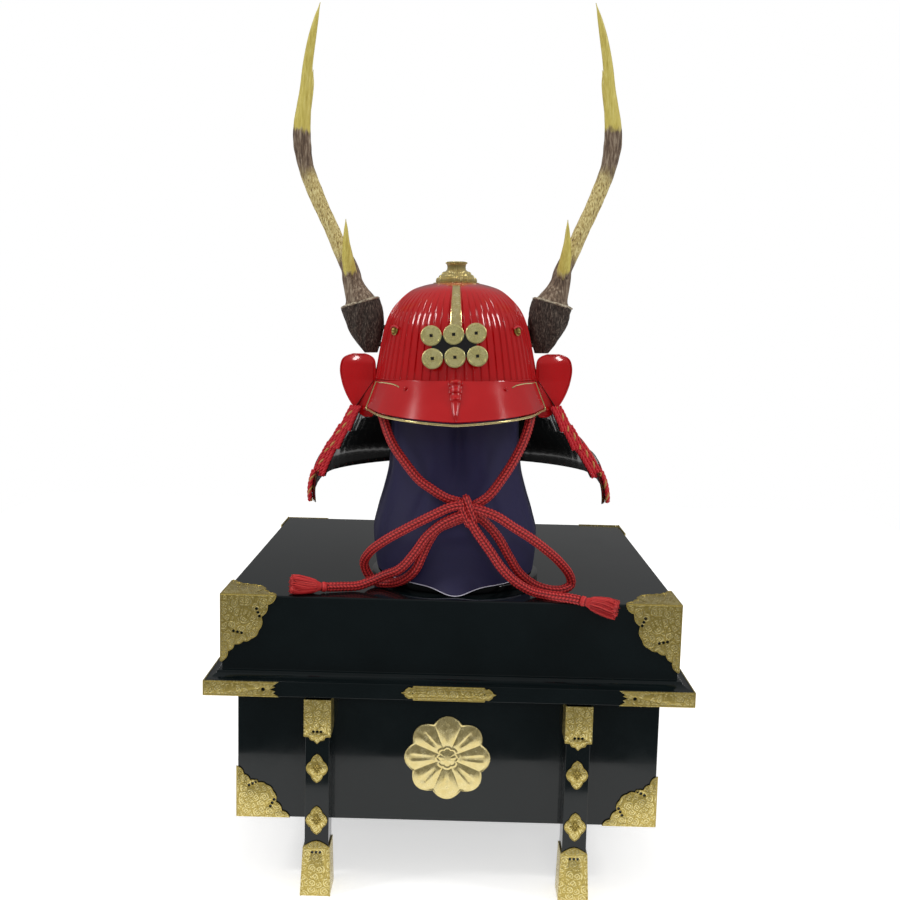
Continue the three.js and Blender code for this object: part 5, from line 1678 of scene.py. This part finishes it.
def cloth_point(turn, at, inset):
    """turn in degrees from the front towards the right, at from 0 at the hem to 1 at the top."""
    wound = turn - 360 * round(turn / 360)
    tip, front = bell(wound / 11), bell(wound / 55)
    hem = CLOTH_HEM - CLOTH_FRONT_DROP * front - (CLOTH_HEM - CLOTH_FRONT_DROP - CLOTH_TIP_HEIGHT) * tip
    height = hem + (CLOTH_TOP - hem) * at
    reach = max(0.0, 1 - at / 0.12) ** 1.5 * CLOTH_TIP_REACH * (front + tip) / 2
    fold = 0.0
    for row in CLOTH_FOLDS:
        middle, half = (row["low"] + row["high"]) / 2, (row["high"] - row["low"]) / 2
        away = turn - row["turn"] - row["slant"] * (at - middle)
        away -= 360 * round(away / 360)
        fold += row["depth"] * bell(away / row["spread"]) * bell((at - middle) / half) ** 1.5
    width = eased(CLOTH_FORM, at, "width") * CLOTH_WIDTH / 2
    radius = max(0.0, width - PLEAT * fold * min(1.0, 3 * (1 - at))) + reach
    out = max(0.3, radius - inset * min(1.0, 12 * (1 - at)))
    angle = math.radians(turn)
    depth = mix(1.0, CLOTH_DEPTH, min(1.0, at / 0.2))
    drop = inset * max(0.0, (at - 0.9) / 0.1)
    return leaning(Vector((out * math.sin(angle), -out * math.cos(angle) * depth, height - drop)))


CLOTH_SIDES = 240
CLOTH_ROWS = 110
PIPING_SPREAD = 54
# A sewn sleeve, gathered over the head of the stand, in metres
CLOTH_FLAT = (0.66, 0.40)


def make_cloth():
    def face(inset):
        return lambda u, v: cloth_point(u * 360, (1 - v) ** 1.15, inset)

    cloth = build("stand_cloth", *shell(CLOTH_SIDES, CLOTH_ROWS, face(0.0), face(1.0), wrap=True), "cloth",
                  flat_angle=180.0)
    settle(cloth, "indigo_cloth", "stand_cloth")
    piping = Heap()
    hem = [cloth_point(turn, 0.0, 0.0) for turn in range(-PIPING_SPREAD, PIPING_SPREAD + 1)]
    rod(piping, hem, 0.6, 6)
    settle(piping.build("cloth_piping", "silver"), "indigo_cloth")
    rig.sheet(cloth, flat=CLOTH_FLAT, held="draped", rests_on=["display_stand"],
             with_pieces=[bpy.data.objects["cloth_piping"]])


make_stand()
make_cloth()

# Chest
LID_WIDTH = 560.0
LID_DEPTH = 510.0
CHEST_HEIGHT = 372.0
LIP_REACH = 17.3
LIP_BOTTOM = 251.0
LIP_HEIGHT = 19.0
BODY_WIDTH = 527.0
BODY_DEPTH = 477.0
BODY_BOTTOM = 81.0
LEG_WIDTH = 29.6
LEG_DEPTH = 32.0
LEG_SPACING = 319.0
LEG_TOP = 248.0
TOE_REACH = 8.0
TOE_FLARE = 2.0
TOE_HEIGHT = 70.0
TOE = table("at out", (0.0, 1.0), (0.4, 0.45), (1.0, 0.0))
FIT = 0.3
BRASS = 1.4
CORNERS = (("front_left", -1, -1), ("front_right", 1, -1), ("back_left", -1, 1), ("back_right", 1, 1))


def toe_out(height):
    return eased(TOE, height / TOE_HEIGHT, "out")


def scalloped(points, bulge):
    """A cusped outline: a round lobe between each two points, standing out to the left of the way."""
    outline = []
    for (x0, z0), (x1, z1) in zip(points, points[1:]):
        length = math.hypot(x1 - x0, z1 - z0)
        normal = ((z1 - z0) / length, -(x1 - x0) / length)
        for k in range(6):
            share = k / 6
            swell = bulge * length * math.sin(math.pi * share)
            outline.append((mix(x0, x1, share) + normal[0] * swell, mix(z0, z1, share) + normal[1] * swell))
    outline.append(points[-1])
    return outline


def round_hole(x, z, radius, sides=14):
    return [(x + radius * math.cos(t), z + radius * math.sin(t)) for t in around(sides)]


def three_dots(centre, degrees, radius=2.2, pitch=5.0):
    """Three round holes in a row, each as a ring of points."""
    way = (math.cos(math.radians(degrees)), math.sin(math.radians(degrees)))
    return [round_hole(centre[0] + k * pitch * way[0], centre[1] + k * pitch * way[1], radius)
            for k in (-1, 0, 1)]


def plate(heap, outline, holes, place, thickness=BRASS, seed=0.0):
    """A bevelled plate, pierced by its holes, drawn as (across, up) with its back on the surface.
    place(across, up, out) puts its points where they belong."""
    edge = 0.3
    curve = bpy.data.curves.new("fitting", "CURVE")
    curve.dimensions = "2D"
    curve.fill_mode = "BOTH"
    curve.extrude = (thickness - 2 * edge) / 2
    curve.bevel_depth = edge
    curve.bevel_resolution = 1
    for loop in [outline, *holes]:
        spline = curve.splines.new("POLY")
        spline.points.add(len(loop) - 1)
        for point, (x, z) in zip(spline.points, loop):
            point.co = (x, z, 0.0, 1.0)
        spline.use_cyclic_u = True
    lump = bpy.data.objects.new("fitting", curve)
    bpy.context.collection.objects.link(lump)
    mesh = bpy.data.meshes.new_from_object(lump.evaluated_get(bpy.context.evaluated_depsgraph_get()))
    work = bmesh.new()
    work.from_mesh(mesh)
    bmesh.ops.remove_doubles(work, verts=work.verts, dist=1e-4)
    bmesh.ops.recalc_face_normals(work, faces=work.faces)
    points = [place(v.co.x, v.co.y, v.co.z + thickness / 2) for v in work.verts]
    drawing = [((v.co.x + seed) * MM, (v.co.y + seed * 0.7) * MM, 0.0) for v in work.verts]
    faces = [tuple(v.index for v in face.verts) for face in work.faces]
    work.free()
    bpy.data.objects.remove(lump)
    bpy.data.curves.remove(curve)
    bpy.data.meshes.remove(mesh)
    heap.add(points, faces, drawing=drawing)


def rim_bead(heap, outline, place, height=BRASS, radius=0.55):
    rod(heap, [place(x, z, height) for x, z in outline], radius, 6)


# The cut edge of a corner plate, from its end on one edge to its end on the other, as shares of its reach
CORNER_EDGE = [(1.0, 0.0), (0.85, 0.13), (0.73, 0.31), (0.68, 0.52), (0.55, 0.64), (0.4, 0.68), (0.24, 0.73),
               (0.12, 0.84), (0.0, 1.0)]


def corner_outline(reach, rise):
    cut = scalloped([(reach * x, rise * z) for x, z in CORNER_EDGE], 0.16)
    return [(0.0, 0.0)] + cut, cut


def corner_places(x, y, width, depth, level, rise):
    """Places beside a corner on its front, side and top, drawn across and up from it and out from the wood.
    rise is 1 where up is drawn upwards and -1 where it is drawn downwards."""
    cx, cy = x * (width / 2 + FIT), y * (depth / 2 + FIT)

    def front(across, up, out):
        return Vector((cx - x * across, cy + y * out, level + rise * up))

    def side(across, up, out):
        return Vector((cx + x * out, cy - y * across, level + rise * up))

    def above(across, up, out):
        return Vector((cx - x * across, cy - y * up, level + out))

    return front, side, above


def edge_rod(heap, ends):
    """The rounded brass along an edge where two plates meet."""
    rod(heap, ends, BRASS * 0.72, 8)


LID_CORNER_REACH = 67.0
LID_CORNER_DROP = 84.0
BASE_CORNER_REACH = 66.0
LIP_CORNER_REACH = 90.0
HALF_BRASS = BRASS / 2


def make_lid_corner(name, x, y):
    """A plate on the front, the side and the top of the lid, but none on the top at the back."""
    heap = Heap()
    reach, drop = LID_CORNER_REACH, LID_CORNER_DROP
    front, side, above = corner_places(x, y, LID_WIDTH, LID_DEPTH, CHEST_HEIGHT + FIT, -1)
    outline, cut = corner_outline(reach, drop)
    level, level_cut = corner_outline(reach, reach)
    dots = three_dots((45, 21), 68) + three_dots((20, 46), 12)
    level_dots = three_dots((45, 18), 75) + three_dots((18, 45), 15)
    plates = [(outline, cut, dots, front), (outline, cut, dots, side), (level, level_cut, level_dots, above)]
    edges = [[front(-HALF_BRASS, up - HALF_BRASS, HALF_BRASS) for up in (0.0, drop)],
             [above(across - HALF_BRASS, -HALF_BRASS, HALF_BRASS) for across in (0.0, reach)],
             [above(-HALF_BRASS, up - HALF_BRASS, HALF_BRASS) for up in (0.0, reach)]]
    for part, line, holes, place in plates if y < 0 else plates[:2]:
        plate(heap, part, holes, place, seed=13.0 * len(heap.faces) % 97)
        rim_bead(heap, line, place)
    for edge in edges if y < 0 else edges[:1]:
        edge_rod(heap, edge)
    settle(heap.build(name, "engraved", flat_angle=35.0), "engraved_gold", name)


def make_base_corner(name, x, y):
    heap = Heap()
    front, side, _ = corner_places(x, y, BODY_WIDTH, BODY_DEPTH, BODY_BOTTOM, 1)
    outline, cut = corner_outline(BASE_CORNER_REACH, BASE_CORNER_REACH)
    dots = three_dots((44, 19), 62) + three_dots((19, 44), 28)
    for place in (front, side):
        plate(heap, outline, dots, place, seed=29.0)
        rim_bead(heap, cut, place)
    edge_rod(heap, [front(-HALF_BRASS, up, HALF_BRASS) for up in (0.0, BASE_CORNER_REACH)])
    settle(heap.build(name, "engraved", flat_angle=35.0), "engraved_gold", name)


def make_lip_corner(name, x, y):
    heap = Heap()
    long, tall = LIP_CORNER_REACH, LIP_HEIGHT
    front, side, _ = corner_places(x, y, LID_WIDTH + 2 * LIP_REACH, LID_DEPTH + 2 * LIP_REACH, LIP_BOTTOM, 1)
    outline = [(0, 0.3), (long, 0.3), (long - 7, tall * 0.27), (long - 4, tall * 0.36), (long - 11, tall / 2),
               (long - 4, tall * 0.64), (long - 7, tall * 0.73), (long, tall - 0.3), (0, tall - 0.3)]
    for place in (front, side):
        plate(heap, outline, [round_hole(long - 18, tall / 2, 2.6)], place, seed=41.0)
        for up in (1.3, tall - 1.3):
            rim_bead(heap, [(1, up), (long - 2.5, up)], place)
    edge_rod(heap, [front(-HALF_BRASS, up, HALF_BRASS) for up in (0.4, tall - 0.4)])
    settle(heap.build(name, "engraved", flat_angle=35.0), "engraved_gold", name)


STRIP_HALF = 57.0


def make_lip_strip():
    heap = Heap()
    half, tall = STRIP_HALF, LIP_HEIGHT - 2.0
    right = [(half - 14, 0), (half - 12.5, tall * 0.16), (half - 8.5, tall * 0.1), (half - 4.5, tall * 0.28),
             (half - 3.5, tall * 0.42), (half, tall / 2)]
    right += [(x, tall - z) for x, z in reversed(right[:-1])]
    outline = right + [(-x, z) for x, z in reversed(right)]
    holes = [round_hole(side * (half - 13.5), tall / 2, 1.2, 10) for side in (-1, 1)]
    face = -(LID_DEPTH / 2 + LIP_REACH + FIT)

    def place(across, up, out):
        return Vector((across, face - out, LIP_BOTTOM + 1.0 + up))

    plate(heap, outline, holes, place, seed=57.0)
    rim_bead(heap, outline + outline[:1], place)
    inner = [(-half + 16, 3.2), (half - 16, 3.2), (half - 16, tall - 3.2), (-half + 16, tall - 3.2)]
    rim_bead(heap, inner + inner[:1], place, radius=0.5)
    settle(heap.build("lip_centre_strip", "engraved", flat_angle=35.0), "engraved_gold", "lip_centre_strip")


def leg_front(height, margin):
    return LEG_DEPTH + TOE_REACH * toe_out(height) + margin


def leg_half(height, margin):
    return LEG_WIDTH / 2 + TOE_FLARE * toe_out(height) + margin


# The cut edges of a leg's cap and shoe, from the middle out: share of the half width, height past the ends
CAP_EDGE = ((0, -9.0), (0.2, -5.5), (0.5, -4.0), (0.62, -0.5), (1.0, 0.0))
SHOE_EDGE = ((0, 8.0), (0.3, 7.0), (0.6, 4.5), (0.8, 2.5), (1.0, 0.0))
CAP_LOW = LEG_TOP - 46.0
SHOE_TOP = 59.0


def make_leg_wrap(name, x, y, edge, level, straight, dots_at):
    """A brass cap or shoe: a pierced front plate and two plain cheeks round the leg. Its cut edge ends at
    the height level, and its straight edge is at the height straight."""
    heap = Heap()
    cx, cy = x * LEG_SPACING / 2, y * (BODY_DEPTH / 2 + FIT)
    half = LEG_WIDTH / 2 + FIT + BRASS * 0.9
    right = [(half * share, level + past) for share, past in edge]
    cut = [(-across, up) for across, up in reversed(right[1:])] + right

    def front(across, up, out):
        spread = leg_half(up, 0.0) / leg_half(TOE_HEIGHT, 0.0)
        return Vector((cx + across * spread, cy + y * (leg_front(up, FIT) + out), up))

    plate(heap, cut + [(half, straight), (-half, straight)], three_dots((0.0, dots_at), 0, 2.1, 4.7), front,
          seed=7.0)
    rim_bead(heap, cut, front)
    low, high = sorted((level, straight))
    for sign in (-1, 1):
        def cheek(across, up, out):
            return Vector((cx + sign * (leg_half(up, FIT) + out),
                           cy + y * across * leg_front(up, FIT) / LEG_DEPTH, up))

        deep = LEG_DEPTH + 1.2
        plate(heap, [(0.6, low), (deep, low), (deep, high), (0.6, high)], [], cheek, seed=71.0)
    settle(heap.build(name, "engraved", flat_angle=35.0), "engraved_gold", name)


LOZENGE_HALF = 13.0
LOZENGE_TALL = 18.0
LOZENGE_PLATE = 1.3
LOZENGE_HEIGHTS = (161.0, 94.0)
LOZENGE = ((0, -1), (0.55, -0.5), (1, 0), (0.55, 0.5), (0, 1), (-0.55, 0.5), (-1, 0), (-0.55, -0.5), (0, -1))
PETAL_STEPS = ((0.15, 0.5), (0.35, 1.3), (0.55, 1.7), (0.75, 1.3), (0.95, 0.3))


def make_lozenge(heap, cx, cy, y, height):
    """A lozenge with cusped edges, eight raised petals and a boss."""
    outline = scalloped([(LOZENGE_HALF * x, LOZENGE_TALL * z) for x, z in LOZENGE], 0.12)

    def place(across, up, out):
        return Vector((cx + across, cy + y * (leg_front(height + up, 0.0) + out), height + up))

    plate(heap, outline[:-1], [], place, LOZENGE_PLATE, seed=height)
    rim_bead(heap, outline, place, LOZENGE_PLATE)
    for turn in (45, 135, 225, 315, 0, 90, 180, 270):
        long = 7.0 if turn % 90 else 9.5
        way = (math.cos(math.radians(turn)) * 0.72, math.sin(math.radians(turn)))
        petal = [place(way[0] * long * share, way[1] * long * share, 1.0 + 1.1 * math.sin(math.pi * share))
                 for share, _ in PETAL_STEPS]
        heap.add(*tube(petal, 8, lambda turn, k: PETAL_STEPS[k][1]))
    ball(heap, place(0, 0, 1.6), 1.9)


def make_leg(name, x, y):
    softened("leg_" + name, "leg_" + name, "lacquer", "black_lacquer", 0.8)
    make_leg_wrap("leg_cap_" + name, x, y, CAP_EDGE, CAP_LOW, LEG_TOP - 0.2, CAP_LOW + 6.0)
    make_leg_wrap("leg_shoe_" + name, x, y, SHOE_EDGE, SHOE_TOP, 0.0, SHOE_TOP - 6.0)
    heap = Heap()
    for height in LOZENGE_HEIGHTS:
        make_lozenge(heap, x * LEG_SPACING / 2, y * (BODY_DEPTH / 2 + FIT), y, height)
    settle(heap.build("leg_lozenges_" + name, "engraved", flat_angle=40.0), "engraved_gold")


ROSETTE_RADIUS = 54.0
ROSETTE_PETALS = 8
ROSETTE_HEIGHT = 165.0
ROSETTE_RINGS = 44
ROSETTE_TURNS = 256
ROSETTE_PROUD = 2.4
PETAL_START = 0.28


def rosette_height(share, lobe):
    """Height over the chest's front, by the share of the radius and by the place in a petal."""
    if share >= 0.97:
        return 1.0
    petal = 0.0
    if share > PETAL_START:
        petal = math.sin(math.pi * clamp((share - PETAL_START) / (1 - PETAL_START))) ** 0.6
    keel = 0.5 * bell((1 - lobe) * 14) * clamp((share - 0.35) * 5) * clamp((0.9 - share) * 8)
    boss = 1.8 * clamp(1 - (share / 0.2) ** 4) + 0.9 * bell((share - 0.25) * 40)
    return min(0.5 + 1.5 * lobe**0.6 * petal - keel + boss, ROSETTE_PROUD)


def make_rosette():
    """A plain rosette: eight domed petals with a keel, and a ringed boss."""
    face = -(BODY_DEPTH / 2 + FIT)
    rings = []
    for j in range(ROSETTE_RINGS + 1):
        share = j / ROSETTE_RINGS
        ring = []
        for turn in around(ROSETTE_TURNS):
            lobe = abs(math.cos(ROSETTE_PETALS * turn / 2))
            reach = max(0.2, ROSETTE_RADIUS * (1 - 0.14 * (1 - lobe)) * share)
            ring.append(Vector((reach * math.cos(turn), face - rosette_height(share, lobe),
                                ROSETTE_HEIGHT + reach * math.sin(turn))))
        rings.append(ring)
    rings.append([Vector((point.x, face, point.z)) for point in rings[-1]])
    points, faces = stacked(rings)
    heap = Heap().add(points, faces[:-1])
    settle(heap.build("front_rosette", "gold", flat_angle=50.0), "engraved_gold", "front_rosette")


def make_chest():
    softened("chest_body", "chest_body", "lacquer", "black_lacquer", 1.0)
    softened("chest_lid", "chest_lid", "lacquer", "black_lacquer", 0.7)
    for name, x, y in CORNERS:
        make_leg(name, x, y)
        make_lid_corner("lid_corner_" + name, x, y)
        make_base_corner("base_corner_" + name, x, y)
        make_lip_corner("lip_corner_" + name, x, y)
    make_lip_strip()
    make_rosette()


make_chest()


# Floor and light
FLOOR_SIDE = 1600
FLOOR_FRONT = -620
FLOOR_BACK = 2600
FLOOR_LEVEL = -0.4


def make_stage():
    points = [(-FLOOR_SIDE, FLOOR_FRONT, FLOOR_LEVEL), (FLOOR_SIDE, FLOOR_FRONT, FLOOR_LEVEL),
              (FLOOR_SIDE, FLOOR_BACK, FLOOR_LEVEL), (-FLOOR_SIDE, FLOOR_BACK, FLOOR_LEVEL)]
    floor = build("floor", points, [(0, 1, 2, 3)], "paper")
    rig.stage(floor)


def soft_light(name, place, target, size, power, mirrored):
    """An area light; mirrored says whether the gloss shows it."""
    data = bpy.data.lights.new(name, "AREA")
    data.shape = "RECTANGLE"
    data.size, data.size_y = size
    data.energy = power
    lamp = bpy.data.objects.new(name, data)
    way = Vector(target) - Vector(place)
    lamp.matrix_world = Matrix.Translation(place) @ way.to_track_quat("-Z", "Y").to_matrix().to_4x4()
    lamp.visible_glossy = mirrored
    bpy.context.collection.objects.link(lamp)


# Each light in metres and watts: its name, place, target, size, power and whether the gloss shows it
LIGHTS = (
    ("key_left", (-2.1, -0.9, 2.5), (0, -0.1, 0.6), (0.45, 0.8), 19.0, True),
    ("key_right", (2.2, -0.7, 2.5), (0, -0.1, 0.6), (0.4, 0.8), 17.5, True),
    ("overhead", (0.0, -0.3, 3.0), (0, -0.1, 0.4), (1.4, 1.0), 15.0, False),
    ("front_fill", (0.3, -3.2, 1.7), (0, -0.2, 0.5), (0.8, 0.6), 13.0, False),
)
# The studio's strength for the colours, and how brightly the gloss mirrors it below and above
ROOM = 0.56
GLOSS_LOW = 0.11
GLOSS_HIGH = 0.34


def make_world():
    """An even white studio that lights the colours, of which the gloss mirrors only a dim part."""
    world = bpy.data.worlds.new("studio")
    bpy.context.scene.world = world
    world.use_nodes = True
    nodes, links = world.node_tree.nodes, world.node_tree.links
    shade = nodes["Background"]
    place = nodes.new("ShaderNodeTexCoord")
    parts = nodes.new("ShaderNodeSeparateXYZ")
    links.new(place.outputs["Generated"], parts.inputs[0])
    rise = nodes.new("ShaderNodeMapRange")
    rise.interpolation_type = "SMOOTHSTEP"
    for key, value in ((1, -0.2), (2, 0.9), (3, GLOSS_LOW), (4, GLOSS_HIGH)):
        rise.inputs[key].default_value = value
    links.new(parts.outputs[2], rise.inputs[0])
    path = nodes.new("ShaderNodeLightPath")
    below = rise.outputs[0]
    for ray, strength in (("Is Diffuse Ray", ROOM), ("Is Camera Ray", 1.0)):
        seen = nodes.new("ShaderNodeMix")
        seen.data_type = "FLOAT"
        links.new(path.outputs[ray], seen.inputs[0])
        links.new(below, seen.inputs[2])
        seen.inputs[3].default_value = strength
        below = seen.outputs[0]
    links.new(below, shade.inputs["Strength"])
    shade.inputs["Color"].default_value = (1.0, 1.0, 1.0, 1.0)


make_stage()
make_world()
for light in LIGHTS:
    soft_light(*light)
bpy.context.scene.view_settings.view_transform = "Standard"
bpy.context.scene.view_settings.look = "None"

with open("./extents.json", "w") as file:
    json.dump({"cad": [list(corner) for corner in cad_box], "visual": [list(corner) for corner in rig.bounds()]},
              file)
